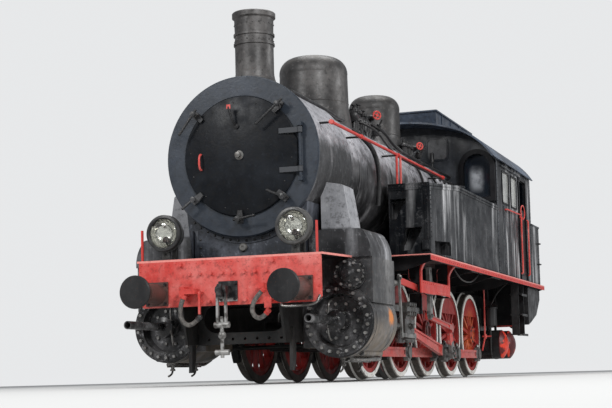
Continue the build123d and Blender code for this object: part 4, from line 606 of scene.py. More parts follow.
black_paint = old_paint("black paint", soot, worn_grey, streaks=0.4, dusting=0.2)
tank_paint = old_paint(
    "streaked tank paint",
    (0.006, 0.007, 0.009),
    (0.58, 0.58, 0.59),
    streaks=1.0,
    dusting=0.3,
    gloss=(0.25, 0.45),
    patchy=0.06,
    mottle=0.10,
    shine=0.10,
)
casing_paint = casing_finish("two-tone casing paint")
saddle_paint = old_paint(
    "saddle paint",
    (0.018, 0.021, 0.028),
    (0.26, 0.28, 0.33),
    streaks=0.5,
    dusting=0.15,
    patchy=0.3,
    mottle=0.36,
)
boiler_paint = shell_finish("boiler paint")
smokebox_paint = shell_finish("smokebox paint")
door_paint = door_finish("smokebox door paint")
dome_paint = old_paint(
    "dusty dome paint",
    (0.013, 0.012, 0.012),
    (0.15, 0.14, 0.135),
    streaks=0.4,
    dusting=0.6,
    gloss=(0.36, 0.56),
    patchy=0.5,
    mottle=0.6,
    shine=0.5,
)
cab_paint = old_paint(
    "cab paint", (0.012, 0.014, 0.018), (0.15, 0.16, 0.18), streaks=0.6, dusting=0.35, patchy=0.35
)
roof_paint = old_paint(
    "roof paint", (0.030, 0.042, 0.064), (0.14, 0.18, 0.245), streaks=0.3, dusting=0.4, patchy=0.6
)
beam_paint = old_paint(
    "red beam paint",
    beam_red,
    (0.80, 0.36, 0.32),
    streaks=0.7,
    dusting=0.1,
    gloss=(0.32, 0.55),
    patchy=0.5,
    flecks=0.5,
    mottle=0.24,
)
frame_paint = old_paint(
    "black frame paint", (0.008, 0.008, 0.008), (0.085, 0.08, 0.075), streaks=0.35, dusting=0.2, flecks=0.5
)
# The running boards' and the deck's edges get a pale painted highlight along their tops.
board_paint = two_tone("running board paint", board_edges, lit=(board_top - 0.018, board_top))
deck_paint = two_tone("deck paint", deck_edges, lit=(beam_top, beam_top + 0.026))
buffer_paint = two_tone("buffer paint", buffer_shanks, second=(0.085, 0.045, 0.038))
reservoir_paint = reservoir_finish("reservoir paint")
bracket_paint = two_tone("motion bracket paint", bracket_edges)
cylinder_paint = jacket_finish("cylinder cladding")
gear_metal = gear_finish("valve gear metal")
works_metal = bare_metal("worn motion steel", steel, dark_oil)
cast_metal = bare_metal(
    "oily cast iron", (0.05, 0.05, 0.052), (0.014, 0.013, 0.012), gloss=(0.28, 0.5), metallic=0.4
)
fitting_metal = bare_metal("bright fittings", bright_steel, dark_oil, gloss=(0.25, 0.45), metallic=0.6)
tyre_paint = tyre_finish("tyre")
lamp_paint = old_paint(
    "lamp paint", (0.02, 0.02, 0.021), (0.16, 0.158, 0.15), streaks=0.4, dusting=0.3, patchy=0.5
)
hood_black = old_paint(
    "window hoods",
    (0.004, 0.004, 0.005),
    (0.05, 0.05, 0.055),
    streaks=0.2,
    dusting=0.1,
    mottle=0.1,
    shine=0.1,
)
hatch_grey = old_paint(
    "hatch paint", (0.075, 0.076, 0.08), (0.24, 0.24, 0.25), streaks=0.3, dusting=0.2, patchy=0.5
)
cover_paint = old_paint(
    "cylinder cover paint",
    (0.012, 0.012, 0.013),
    (0.56, 0.55, 0.56),
    streaks=0.3,
    dusting=0.2,
    gloss=(0.22, 0.42),
    patchy=0.3,
    mottle=0.5,
)
coupling_steel = bare_metal(
    "coupling steel", (0.30, 0.295, 0.285), dark_oil, gloss=(0.3, 0.5), metallic=0.6
)
dog_black = old_paint(
    "door dogs",
    (0.006, 0.006, 0.007),
    (0.3, 0.3, 0.31),
    streaks=0.2,
    dusting=0.1,
    mottle=0.35,
    shine=0.5,
)
coupling_paint = coupling_finish("couplings")
rail_paint = two_tone("hand rail paint", boiler_rails)
pane_glass = window_glass("cab glass")
lamp_glass = lens_glass("lamp glass")
lamp_silver = silvered("lamp silver")
bulb_brown = old_paint(
    "bulb holders", (0.05, 0.03, 0.026), (0.10, 0.07, 0.06), streaks=0.1, dusting=0.1
)
rubber = hose_rubber("hose rubber")

node_finish = {
    "main_frames": frame_paint,
    "axleboxes": cast_metal,
    "frame_stretchers": frame_paint,
    "buffer_beams": beam_paint,
    "buffers": buffer_paint,
    "screw_couplings": coupling_paint,
    "front_deck": deck_paint,
    "running_boards": board_paint,
    "smokebox_saddle": saddle_paint,
    "smokebox": smokebox_paint,
    "smokebox_door": door_paint,
    "boiler": boiler_paint,
    "chimney": dome_paint,
    "steam_dome": dome_paint,
    "sand_dome": dome_paint,
    "side_tanks": tank_paint,
    "cab_roof": roof_paint,
    "cab_front": cab_paint,
    "cab_sides": tank_paint,
    "coal_bunker": tank_paint,
    "cab_windows": pane_glass,
    "cylinder_casings": casing_paint,
    "cylinders": cylinder_paint,
    "cylinder_covers": cover_paint,
    "slide_bars": works_metal,
    "motion_brackets": bracket_paint,
    "valve_gear": gear_metal,
    "boiler_handrails": rail_paint,
    "cab_handrails": beam_paint,
    "air_reservoirs": reservoir_paint,
    "brake_gear": frame_paint,
    "springs": cast_metal,
    "brake_cocks": beam_paint,
    "hose_heads": beam_paint,
}


def rod_ends(side):
    """Give the small and the big end of a main rod at rest."""
    if side == "left":
        sign, pin_y, pin_z = 1, axle_ys[2], axle_z - crank_radius
    else:
        sign, pin_y, pin_z = -1, axle_ys[2] + crank_radius, axle_z
    front_y = pin_y - math.sqrt(main_rod_length**2 - (pin_z - axle_z) ** 2)
    return (sign * cylinder_x, front_y, axle_z), (sign * cylinder_x, pin_y, pin_z)


def coupling_ends(side):
    """Give the five bosses of a coupling rod at rest."""
    if side == "left":
        return [(coupling_x, y, axle_z - crank_radius) for y in axle_ys]
    return [(-coupling_x, y + crank_radius, axle_z) for y in axle_ys]


for side, sign in sides:
    node_finish[f"main_rod_{side}"] = rod_finish(f"main rod {side}", rod_ends(side), 0.21)
    node_finish[f"coupling_rod_{side}"] = rod_finish(f"coupling rod {side}", coupling_ends(side), 0.17)
    node_finish[f"crosshead_{side}"] = works_metal
for number, axle_y in enumerate(axle_ys, start=1):
    node_finish[f"tyres_{number}"] = tyre_paint
    node_finish[f"wheel_centres_{number}"] = wheel_finish(f"wheel {number}", axle_y)
for name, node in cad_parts.items():
    for slot in node.material_slots:
        slot.material = node_finish.get(name, black_paint)


# Mesh work for the pieces that the frame doesn't hold
def cross_axes(axis):
    """Give an axis at unit length, and two more at right angles to it."""
    axis = Vector(axis).normalized()
    first = axis.orthogonal().normalized()
    return axis, first, axis.cross(first)


def round_points(middle, first, second, radius, count, start=0.0):
    """Give points spread round a circle that two axes span."""
    points = []
    for step in range(count):
        angle = start + 2 * math.pi * step / count
        points.append(Vector(middle) + (first * math.cos(angle) + second * math.sin(angle)) * radius)
    return points


class Work:
    """A mesh under way, for one finish on one body."""

    def __init__(self, name, finish, slot, body="locomotive"):
        self.name = name
        self.finish = finish
        self.slot = slot
        self.body = body
        self.mesh = bmesh.new()

    def block(self, low, high, bevel=0.004):
        """Add a block between two corners, with its edges broken."""
        low = Vector(low)
        high = Vector(high)
        made = bmesh.ops.create_cube(self.mesh, size=1)["verts"]
        for vertex in made:
            vertex.co = low + Vector([(vertex.co[axis] + 0.5) * (high - low)[axis] for axis in range(3)])
        edges = {edge for vertex in made for edge in vertex.link_edges}
        bmesh.ops.bevel(self.mesh, geom=list(edges), offset=bevel, segments=2, affect="EDGES", profile=0.7)

    def flank(self, sign, inner, outer, low, high, bevel=0.004):
        """Add a block on one side, between two distances from the middle and two pairs of y and z."""
        low_x, high_x = sorted((sign * inner, sign * outer))
        self.block((low_x, *low), (high_x, *high), bevel)

    def turned(self, base, axis, profile, sides=24):
        """Add a turned form on an axis, by pairs of radius and distance along it."""
        axis, first, second = cross_axes(axis)
        rings = []
        for radius, along in profile:
            middle = Vector(base) + axis * along
            if radius == 0:
                rings.append([self.mesh.verts.new(middle)])
                continue
            around = round_points(middle, first, second, radius, sides)
            rings.append([self.mesh.verts.new(point) for point in around])
        for lower, upper in zip(rings, rings[1:]):
            if len(lower) == len(upper) == 1:
                continue
            for step in range(sides):
                after = (step + 1) % sides
                if len(lower) == 1:
                    self.mesh.faces.new((lower[0], upper[step], upper[after]))
                elif len(upper) == 1:
                    self.mesh.faces.new((lower[step], lower[after], upper[0]))
                else:
                    self.mesh.faces.new((lower[step], lower[after], upper[after], upper[step]))

    def pipe(self, points, radius, closed=False, smooth=True):
        """Add a round bar or pipe along points, rounded at its corners where smooth."""
        curve = bpy.data.curves.new("run", "CURVE")
        curve.dimensions = "3D"
        curve.bevel_depth = radius
        curve.bevel_resolution = 3
        curve.resolution_u = 6
        curve.use_fill_caps = True
        spline = curve.splines.new("NURBS" if smooth else "POLY")
        spline.points.add(len(points) - 1)
        for point, place in zip(spline.points, points):
            point.co = (*place, 1)
        if smooth:
            spline.order_u = 3
            spline.use_endpoint_u = not closed
        spline.use_cyclic_u = closed
        holder = bpy.data.objects.new("run", curve)
        made = bpy.data.meshes.new_from_object(holder)
        self.mesh.from_mesh(made)
        bpy.data.objects.remove(holder)
        bpy.data.curves.remove(curve)
        bpy.data.meshes.remove(made)

    def ring(self, middle, axis, radius, thickness, sides=32):
        """Add a round ring of round bar about an axis."""
        axis, first, second = cross_axes(axis)
        self.pipe(round_points(middle, first, second, radius, sides), thickness, closed=True)

    def strip(self, outer, inner, place, depth):
        """Add a flat closed border between two outlines of as many points, set out by a function."""
        loops = []
        for outline, lift in ((outer, 0), (outer, depth), (inner, depth), (inner, 0)):
            loops.append([self.mesh.verts.new(place(u, v, lift)) for u, v in outline])
        count = len(outer)
        for near, beyond in zip(loops, loops[1:] + loops[:1]):
            for step in range(count):
                after = (step + 1) % count
                self.mesh.faces.new((near[step], near[after], beyond[after], beyond[step]))

    def plate(self, outline, place, depth, bevel=0.003):
        """Add a flat plate with an outline, set out by a function."""
        back = [self.mesh.verts.new(place(u, v, 0)) for u, v in outline]
        front = [self.mesh.verts.new(place(u, v, depth)) for u, v in outline]
        self.mesh.faces.new(back)
        face = self.mesh.faces.new(front)
        for step in range(len(outline)):
            after = (step + 1) % len(outline)
            self.mesh.faces.new((back[step], back[after], front[after], front[step]))
        bmesh.ops.bevel(self.mesh, geom=list(face.edges), offset=bevel, segments=2, affect="EDGES")

    def loose(self, angle=40):
        """Turn the mesh into an object."""
        bmesh.ops.remove_doubles(self.mesh, verts=self.mesh.verts, dist=0.00001)
        bmesh.ops.recalc_face_normals(self.mesh, faces=self.mesh.faces)
        mesh = bpy.data.meshes.new(self.name)
        self.mesh.to_mesh(mesh)
        self.mesh.free()
        mesh.materials.append(self.finish)
        mesh.shade_smooth()
        mesh.set_sharp_from_angle(angle=math.radians(angle))
        piece = bpy.data.objects.new(self.name, mesh)
        bpy.context.collection.objects.link(piece)
        return piece

    def done(self, angle=40):
        """Turn the mesh into a piece that rides on its body."""
        piece = self.loose(angle)
        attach(piece, self.body)
        return piece


def merged_copy(name):
    """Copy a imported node's mesh with its split corners joined."""
    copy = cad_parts[name].data.copy()
    work = bmesh.new()
    work.from_mesh(copy)
    bmesh.ops.remove_doubles(work, verts=work.verts, dist=0.00001)
    work.to_mesh(copy)
    work.free()
    return copy


def on_front(y):
    """Set flat outlines on an upright plane that faces the front, standing out forwards."""
    return lambda u, v, lift: (u, y - lift, v)


def on_back(y):
    """Set flat outlines on an upright plane that faces the rear, standing out backwards."""
    return lambda u, v, lift: (u, y + lift, v)


def on_side(x):
    """Set flat outlines of y and z on an upright plane along the side, standing out from it."""
    return lambda u, v, lift: (x + math.copysign(lift, x), u, v)


# Rivets, bolts and nuts: one Geometry Nodes tree sets a head on each of a mesh's points
def head_tree():
    """Build the tree that sets a rivet or a six-sided bolt head on each point of a mesh."""
    tree = bpy.data.node_groups.new("heads on points", "GeometryNodeTree")
    tree.interface.new_socket("Points", in_out="INPUT", socket_type="NodeSocketGeometry")
    for label in ("Radius", "Height", "Turn Spread"):
        tree.interface.new_socket(label, in_out="INPUT", socket_type="NodeSocketFloat")
    tree.interface.new_socket("Six Sided", in_out="INPUT", socket_type="NodeSocketBool")
    tree.interface.new_socket("Finish", in_out="INPUT", socket_type="NodeSocketMaterial")
    tree.interface.new_socket("Heads", in_out="OUTPUT", socket_type="NodeSocketGeometry")
    nodes = tree.nodes
    links = tree.links
    given = nodes.new("NodeGroupInput").outputs
    result = nodes.new("NodeGroupOutput").inputs

    dome = nodes.new("GeometryNodeMeshUVSphere")
    dome.inputs["Segments"].default_value = 10
    dome.inputs["Rings"].default_value = 5
    dome.inputs["Radius"].default_value = 1.0
    nut = nodes.new("GeometryNodeMeshCone")
    nut.inputs["Vertices"].default_value = 6
    nut.inputs["Radius Top"].default_value = 0.86
    nut.inputs["Radius Bottom"].default_value = 1.0
    nut.inputs["Depth"].default_value = 1.0
    choose = nodes.new("GeometryNodeSwitch")
    choose.input_type = "GEOMETRY"
    links.new(given["Six Sided"], choose.inputs["Switch"])
    links.new(dome.outputs["Mesh"], choose.inputs["False"])
    links.new(nut.outputs["Mesh"], choose.inputs["True"])

    facing = nodes.new("GeometryNodeInputNamedAttribute")
    facing.data_type = "FLOAT_VECTOR"
    facing.inputs["Name"].default_value = "facing"
    align = nodes.new("FunctionNodeAlignRotationToVector")
    align.axis = "Z"
    links.new(facing.outputs["Attribute"], align.inputs["Vector"])
    chance = nodes.new("FunctionNodeRandomValue")
    chance.data_type = "FLOAT"
    chance.inputs["Min"].default_value = 0.0
    chance.inputs["Seed"].default_value = 7
    links.new(given["Turn Spread"], chance.inputs[3])
    spin = nodes.new("FunctionNodeAxisAngleToRotation")
    spin.inputs["Axis"].default_value = (0, 0, 1)
    links.new(chance.outputs[1], spin.inputs["Angle"])
    turn = nodes.new("FunctionNodeRotateRotation")
    turn.rotation_space = "LOCAL"
    links.new(align.outputs[0], turn.inputs["Rotation"])
    links.new(spin.outputs[0], turn.inputs["Rotate By"])
    size = nodes.new("ShaderNodeCombineXYZ")
    links.new(given["Radius"], size.inputs["X"])
    links.new(given["Radius"], size.inputs["Y"])
    links.new(given["Height"], size.inputs["Z"])

    put = nodes.new("GeometryNodeInstanceOnPoints")
    links.new(given["Points"], put.inputs["Points"])
    links.new(choose.outputs[0], put.inputs["Instance"])
    links.new(turn.outputs[0], put.inputs["Rotation"])
    links.new(size.outputs[0], put.inputs["Scale"])
    real = nodes.new("GeometryNodeRealizeInstances")
    paint = nodes.new("GeometryNodeSetMaterial")
    links.new(put.outputs[0], real.inputs[0])
    links.new(real.outputs[0], paint.inputs["Geometry"])
    links.new(given["Finish"], paint.inputs["Material"])
    links.new(paint.outputs[0], result["Heads"])
    return tree


heads = head_tree()


class Heads:
    """Points for rivets or bolts of one size, with the way that each faces."""

    def __init__(self, name, radius, height, finish, slot, body="locomotive", six=False):
        self.name = name
        self.radius = radius
        self.height = height
        self.finish = finish
        self.slot = slot
        self.body = body
        self.six = six
        self.places = []
        self.ways = []

    def at(self, place, way):
        """Add one head."""
        self.places.append(Vector(place))
        self.ways.append(Vector(way))

    def row(self, start, end, spacing, way):
        """Add heads along a straight line, spread evenly."""
        start = Vector(start)
        end = Vector(end)
        count = max(1, round((end - start).length / spacing))
        for step in range(count + 1):
            self.at(start.lerp(end, step / count), way)

    def circle(self, middle, radius, count, way, start=0.0, keep=None):
        """Add heads round a circle that faces a way, where keep allows them."""
        way = Vector(way).normalized()
        first = Vector((0, 0, 1)) if abs(way.z) < 0.9 else Vector((1, 0, 0))
        for place in round_points(middle, first, way.cross(first), radius, count, start):
            if keep is None or keep(place):
                self.at(place, way)

    def done(self):
        """Set the heads and turn them into a plain mesh that rides on its body."""
        mesh = bpy.data.meshes.new(self.name)
        mesh.from_pydata([tuple(place) for place in self.places], [], [])
        facing = mesh.attributes.new("facing", "FLOAT_VECTOR", "POINT")
        for item, way in zip(facing.data, self.ways):
            item.vector = way
        points = bpy.data.objects.new(self.name + "_points", mesh)
        bpy.context.collection.objects.link(points)
        modifier = points.modifiers.new("heads", "NODES")
        modifier.node_group = heads
        given = [item for item in heads.interface.items_tree if item.in_out == "INPUT"]
        inputs = {item.name: item.identifier for item in given}
        modifier[inputs["Radius"]] = self.radius
        modifier[inputs["Height"]] = self.height
        modifier[inputs["Turn Spread"]] = 3.14
        modifier[inputs["Six Sided"]] = self.six
        modifier[inputs["Finish"]] = self.finish
        ready = points.evaluated_get(bpy.context.evaluated_depsgraph_get())
        made = bpy.data.meshes.new_from_object(ready)
        bpy.data.objects.remove(points)
        made.name = self.name
        if not self.six:
            made.shade_smooth()
        piece = bpy.data.objects.new(self.name, made)
        bpy.context.collection.objects.link(piece)
        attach(piece, self.body)
        return piece


forward = (0, -1, 0)
backward = (0, 1, 0)
upwards = (0, 0, 1)
downwards = (0, 0, -1)


def boiler_spoke(degrees, ahead=0.0):
    """Give a direction in the boiler's cross-section, by its angle above the left-hand side."""
    angle = math.radians(degrees)
    return Vector((math.cos(angle), ahead, math.sin(angle)))


def mirrored(sign, points):
    """Give points of the left-hand side, or with a sign of -1 the same ones on the right."""
    return [(sign * x, y, z) for x, y, z in points]


def band(inner, outer, width, chamfer, sunk, ridge):
    """Give a flat band's profile, sunk at a ridge into what it lies on."""
    top = ((outer, chamfer), (outer, width - chamfer))
    return ((inner, 0), *top, (inner, width), (sunk, ridge), (inner, 0))


# Front end: smokebox door, saddle, beams, lamps and cylinders
def dress_door():
    """Fit the smokebox door's dogs, each a bar with its stud, nut and handle."""
    dogs = Work("door_dogs", dog_black, "smokebox_black", "smokebox_door")
    nuts = Heads("door_dog_nuts", 0.026, 0.034, fitting_metal, "bare_steel", "smokebox_door", six=True)
    clamp_y = ring_front_y - 0.045
    stud_ring_radius = 0.752
    bar_thickness = 0.03
    handle_radius = 0.016
    bar_outline = (
        (-0.11, -0.026), (-0.02, -0.042), (0.05, -0.036),
        (0.05, 0.036), (-0.02, 0.042), (-0.11, 0.026),
    )
    stud_profile = (
        (0, 0), (0.03, 0), (0.03, 0.03), (0.022, 0.04),
        (0.022, 0.125), (0.034, 0.128), (0.034, 0.152), (0, 0.16),
    )
    tip_profile = ((0, -0.004), (0.017, 0.002), (0.019, 0.014), (0.013, 0.028), (0, 0.032))
    # Angle of each dog on the door's edge, angle of its handle, and half the handle's length
    dog_table = (
        (137, 235, 0.17),
        (48, 222, 0.20),
        (221, 219, 0.09),
        (316, 155, 0.11),
        (269, 8, 0.13),
    )
    for around, lean, half in dog_table:
        out = boiler_spoke(around)
        across = Vector((-out.z, 0, out.x))
        stud = Vector((0, clamp_y, boiler_z)) + out * stud_ring_radius

        def on_dog(u, v, lift, stud=stud, out=out, across=across):
            """Set a bar's outline flat over the door's edge."""
            place = stud + out * u + across * v
            return (place.x, place.y - lift, place.z)

        dogs.plate(bar_outline, on_dog, bar_thickness)
        dogs.turned(stud + Vector((0, 0.035, 0)), forward, stud_profile, 16)
        nuts.at(stud + Vector((0, -0.045, 0)), forward)
        way = boiler_spoke(lean, -0.1)
        middle = stud + Vector((0, -0.104, 0))
        dogs.pipe((middle - way * half * 0.4, middle + way * half * 1.6), handle_radius, smooth=False)
        dogs.turned(middle + way * half * 1.58, way, tip_profile, 12)
    dogs.done()
    nuts.done()


def fit_door_furniture():
    """Fit the smokebox door's knob, red handle, lamp iron and small screws."""
    knob = Work("door_knob", fitting_metal, "bare_steel", "smokebox_door")
    knob_profile = (
        (0.0, -0.01), (0.055, -0.01), (0.055, 0.004), (0.03, 0.012),
        (0.024, 0.035), (0.036, 0.046), (0.032, 0.062), (0, 0.068),
    )
    knob.turned((0, door_front_y + 0.006, boiler_z), forward, knob_profile)
    knob.done()

    handle = Work("door_handle", beam_paint, "beam_red", "smokebox_door")
    handle_x = -0.49
    handle_route = ((-5.315, 2.70), (-5.375, 2.70), (-5.375, 2.52), (-5.315, 2.52))
    handle.pipe([(handle_x, y, z) for y, z in handle_route], 0.013)
    flag_outline = ((-0.118, 3.20), (-0.068, 3.20), (-0.068, 3.25), (-0.118, 3.25))
    handle.plate(flag_outline, on_front(-5.405), 0.012)
    handle.done()

    iron = Work("door_lamp_iron", black_paint, "smokebox_black", "smokebox_door")
    iron_route = (
        (-0.03, -5.325, 3.0),
        (-0.045, -5.375, 3.03),
        (-0.07, -5.40, 3.10),
        (-0.093, -5.41, 3.225),
    )
    foot_profile = ((0, -0.015), (0.032, -0.015), (0.032, 0.008), (0.02, 0.014), (0, 0.014))
    iron.pipe(iron_route, 0.013)
    iron.turned((-0.03, -5.338, 3.0), forward, foot_profile, 16)
    iron.done()

    screws = Heads("door_screws", 0.012, 0.009, black_paint, "smokebox_black", "smokebox_door")
    screws.circle((0, -5.2925, boiler_z), 0.635, 14, forward, start=0.12)
    screws.done()


def dress_saddle():
    """Rivet the saddle's flange, and add its angle irons and plug."""
    rivets = Heads("saddle_rivets", 0.016, 0.014, cast_metal, "black_paint")
    flange_radius = 0.984
    for step in range(-7, 8):
        spoke = boiler_spoke(-90 + step * 5.9) * flange_radius
        place = Vector((0, saddle_face_y - 0.001, boiler_z)) + spoke
        if abs(place.x) < 0.68:
            rivets.at(place, forward)
    plate_y = saddle_face_y + 0.014
    for z in (1.53, 1.62, 1.715):
        rivets.at((-0.585, plate_y, z), forward)
        rivets.at((0.585, plate_y, z), forward)
    rivets.row((-0.50, plate_y, 1.475), (0.50, plate_y, 1.475), 0.1, forward)
    rivets.done()
    angles = Work("saddle_fittings", saddle_paint, "black_paint")
    for sign in (-1, 1):
        angles.flank(sign, 0.66, 0.672, (plate_y - 0.07, 1.446), (plate_y, 1.82), 0.003)
        angles.flank(sign, 0.61, 0.66, (plate_y - 0.010, 1.446), (plate_y, 1.82), 0.003)
    angles.done()
    plug = Work("saddle_plug", fitting_metal, "bare_steel")
    plug_profile = (
        (0, -0.01), (0.052, -0.01), (0.052, 0.016), (0.04, 0.03),
        (0.018, 0.03), (0.014, 0.018), (0, 0.018),
    )
    plug.turned((-0.044, plate_y, 1.60), forward, plug_profile, 20)
    plug.done()


def dress_beams():
    """Bolt the buffer beams, the buffers' plates and the hooks' plates."""
    bolts = Heads("beam_bolts", 0.022, 0.042, beam_paint, "beam_red", six=True)
    small = Heads("beam_rivets", 0.0095, 0.009, beam_paint, "beam_red")
    plates = Heads("buffer_bolts", 0.019, 0.022, black_paint, "black_paint", six=True)
    # Single bolts, as x and z
    singles = (
        (-0.577, 1.372), (0.544, 1.372), (-0.338, 0.948),
        (-0.227, 0.948), (0.211, 0.948), (0.338, 0.948),
    )
    corners = (-0.108, 0.108)
    hook_corners = (-0.088, 0.088)
    for end, y, way in ((-1, beam_y, forward), (1, beam_end, backward)):
        bolts.row((-0.467, y, 1.265), (0.467, y, 1.265), 0.133, way)
        for x, z in singles:
            bolts.at((x, y, z), way)
        small.row((-1.07, y, beam_top - 0.028), (1.07, y, beam_top - 0.028), 0.085, way)
        for x in (-1.085, 1.085):
            small.row((x, y, 0.98), (x, y, beam_top - 0.1), 0.085, way)
        for x in (-buffer_x, buffer_x):
            for dx in corners:
                for dz in corners:
                    plates.at((x + dx, y + end * 0.022, buffer_z + dz), way)
        for dx in hook_corners:
            for dz in hook_corners:
                plates.at((dx, y + end * 0.014, buffer_z + dz), way)
    bolts.done()
    small.done()
    plates.done()
    rail = Work("shunting_rail", fitting_metal, "bare_steel")
    rail.pipe(
        (
            (0.64, beam_y + 0.02, 0.912),
            (0.64, beam_y - 0.035, 0.885),
            (0.66, beam_y - 0.045, 0.855),
            (1.02, beam_y - 0.045, 0.858),
            (1.085, beam_y - 0.04, 0.905),
            (1.088, beam_y - 0.003, 0.965),
        ),
        0.014,
    )
    rail.done()


def hollow_lamps(cutter):
    """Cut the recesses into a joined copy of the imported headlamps, which stands in for them."""
    body = bpy.data.objects.new("lamp_bodies", merged_copy("headlamps"))
    bpy.context.collection.objects.link(body)
    hollow = body.modifiers.new("recess", "BOOLEAN")
    hollow.operation = "DIFFERENCE"
    hollow.object = cutter
    made = bpy.data.meshes.new_from_object(body.evaluated_get(bpy.context.evaluated_depsgraph_get()))
    bpy.data.objects.remove(body)
    bpy.data.objects.remove(cutter)
    made.name = "lamp_bodies"
    made.materials.clear()
    made.materials.append(lamp_paint)
    made.shade_smooth()
    made.set_sharp_from_angle(angle=math.radians(35))
    body = bpy.data.objects.new("lamp_bodies", made)
    bpy.context.collection.objects.link(body)
    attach(body, "locomotive")
    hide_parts("headlamps")


def dress_lamps():
    """Give each headlamp its hollow reflector, bulb holder, glass and rims."""
    recess = Work("lamp_recess", lamp_silver, "bare_steel")
    reflectors = Work("lamp_reflectors", lamp_silver, "bare_steel")
    bulbs = Work("lamp_bulbs", bulb_brown, "lamp_grey")
    lenses = Work("lamp_lenses", lamp_glass, "glass")
    rims = Work("lamp_rims", lamp_paint, "lamp_grey")
    bowl = (
        (0.176, 0.004), (0.170, 0.03), (0.155, 0.065), (0.13, 0.1),
        (0.09, 0.13), (0.04, 0.15), (0, 0.153),
    )
    recess_profile = ((0, -0.05), (0.18, -0.05), *[(radius * 1.02, along) for radius, along in bowl])
    bulb_profile = (
        (0, 0.035), (0.022, 0.038), (0.036, 0.052),
        (0.036, 0.075), (0.03, 0.14), (0, 0.142),
    )
    lens_profile = (
        (0.172, -0.004), (0.15, 0.014), (0.11, 0.027), (0.06, 0.034), (0, 0.036), (0, 0.032),
        (0.06, 0.030), (0.11, 0.023), (0.15, 0.010), (0.169, -0.007), (0.172, -0.004),
    )
    front_rim = (
        (0.168, -0.012), (0.208, -0.012), (0.2125, 0.004), (0.204, 0.018),
        (0.182, 0.022), (0.168, 0.008), (0.168, -0.012),
    )
    body_band = (
        (0.2095, 0), (0.215, 0.004), (0.215, 0.018), (0.2095, 0.022),
        (0.19, 0.022), (0.19, 0), (0.2095, 0),
    )
    for x in (-lamp_x, lamp_x):
        base = (x, lamp_front_y, lamp_z)
        recess.turned(base, backward, recess_profile, 48)
        reflectors.turned(base, backward, bowl, 48)
        bulbs.turned((x, lamp_front_y, lamp_z - 0.07), backward, bulb_profile, 20)
        lenses.turned(base, forward, lens_profile, 48)
        rims.turned(base, forward, front_rim, 48)
        rims.turned((x, lamp_front_y + 0.052, lamp_z), backward, body_band, 48)
    hollow_lamps(recess.loose())
    reflectors.done(60)
    bulbs.done()
    lenses.done(60)
    rims.done()


def stud_cylinders():
    """Stud the covers of the cylinders and of the valve chests."""
    studs = Heads("cylinder_studs", 0.023, 0.036, coupling_steel, "cast_grey", six=True)
    small = Heads("valve_studs", 0.018, 0.034, coupling_steel, "bare_steel", six=True)
    chest_radius = 0.225
    for sign in signs:
        x = sign * cylinder_x
        chest_x = sign * valve_x

        def clear(place, chest_x=chest_x):
            """Say whether a stud's place lies off the valve chest."""
            return math.hypot(place.x - chest_x, place.z - valve_z) > chest_radius

        studs.circle((x, cylinder_front_y - 0.038, axle_z), 0.362, 22, forward, keep=clear)
        studs.circle((x, cylinder_front_y + 0.108, axle_z), 0.205, 10, forward, start=0.3)
        studs.circle((x, cylinder_rear_y + 0.035, axle_z), 0.32, 16, backward, start=0.1)
        small.circle((x, cylinder_front_y - 0.07, axle_z), 0.112, 8, forward)
        small.circle((chest_x, valve_front_y - 0.028, valve_z), 0.158, 14, forward)
        small.circle((chest_x, valve_front_y - 0.104, valve_z), 0.14, 8, forward, start=0.2)
    studs.done()
    small.done()


def strap_cylinders():
    """Lay two straps round each cylinder's cladding."""
    straps = Work("cylinder_straps", cylinder_paint, "cast_grey")
    strap_profile = band(0.424, 0.4295, 0.04, 0.001, 0.42, 0.02)
    for sign in signs:
        for y in (cylinder_front_y + 0.10, cylinder_rear_y - 0.14):
            straps.turned((sign * cylinder_x, y, axle_z), backward, strap_profile, 64)
    straps.done()


def fit_drain_cocks():
    """Fit the cylinders' drain cocks with their rod, drain pipes and the covers' small pipes."""
    cocks = Work("cylinder_cocks", fitting_metal, "bare_steel")
    cock_profile = (
        (0, -0.01), (0.035, -0.01), (0.035, 0.02), (0.022, 0.03),
        (0.022, 0.075), (0.032, 0.08), (0.032, 0.1), (0, 0.1),
    )
    union_profile = ((0, 0), (0.024, 0), (0.03, 0.02), (0.03, 0.06), (0.02, 0.08), (0, 0.08))
    cover_pipe = (
        (1.0, cylinder_front_y - 0.035, 0.93),
        (0.99, cylinder_front_y - 0.10, 0.93),
        (0.985, cylinder_front_y - 0.11, 0.80),
        (0.97, cylinder_front_y - 0.10, 0.52),
        (0.99, cylinder_front_y - 0.035, 0.48),
    )
    drain_pipe = (
        (1.16, cylinder_front_y + 0.18, 0.262),
        (1.17, cylinder_rear_y + 0.25, 0.262),
        (1.17, cylinder_rear_y + 0.36, 0.27),
        (1.10, cylinder_rear_y + 0.40, 0.33),
    )
    rod_x = cylinder_x + 0.04
    cock_rod = ((rod_x, cylinder_front_y + 0.06, 0.235), (rod_x, cylinder_rear_y + 0.1, 0.235))
    for sign in signs:
        x = sign * cylinder_x
        for y in (cylinder_front_y + 0.12, cylinder_rear_y - 0.15):
            cocks.turned((x, y, axle_z - 0.42), downwards, cock_profile, 14)
            cocks.pipe(((x, y, 0.205), (x, y, 0.17), (x, y - 0.06, 0.13), (x, y - 0.12, 0.12)), 0.012)
        cocks.pipe(mirrored(sign, cock_rod), 0.009)
        cocks.pipe(mirrored(sign, cover_pipe), 0.013)
        cocks.turned((sign * 0.985, cylinder_front_y - 0.108, 0.70), downwards, union_profile, 12)
        cocks.pipe(mirrored(sign, drain_pipe), 0.026)
    cocks.done()


dress_door()
fit_door_furniture()
dress_saddle()
dress_beams()
dress_lamps()
stud_cylinders()
strap_cylinders()
fit_drain_cocks()


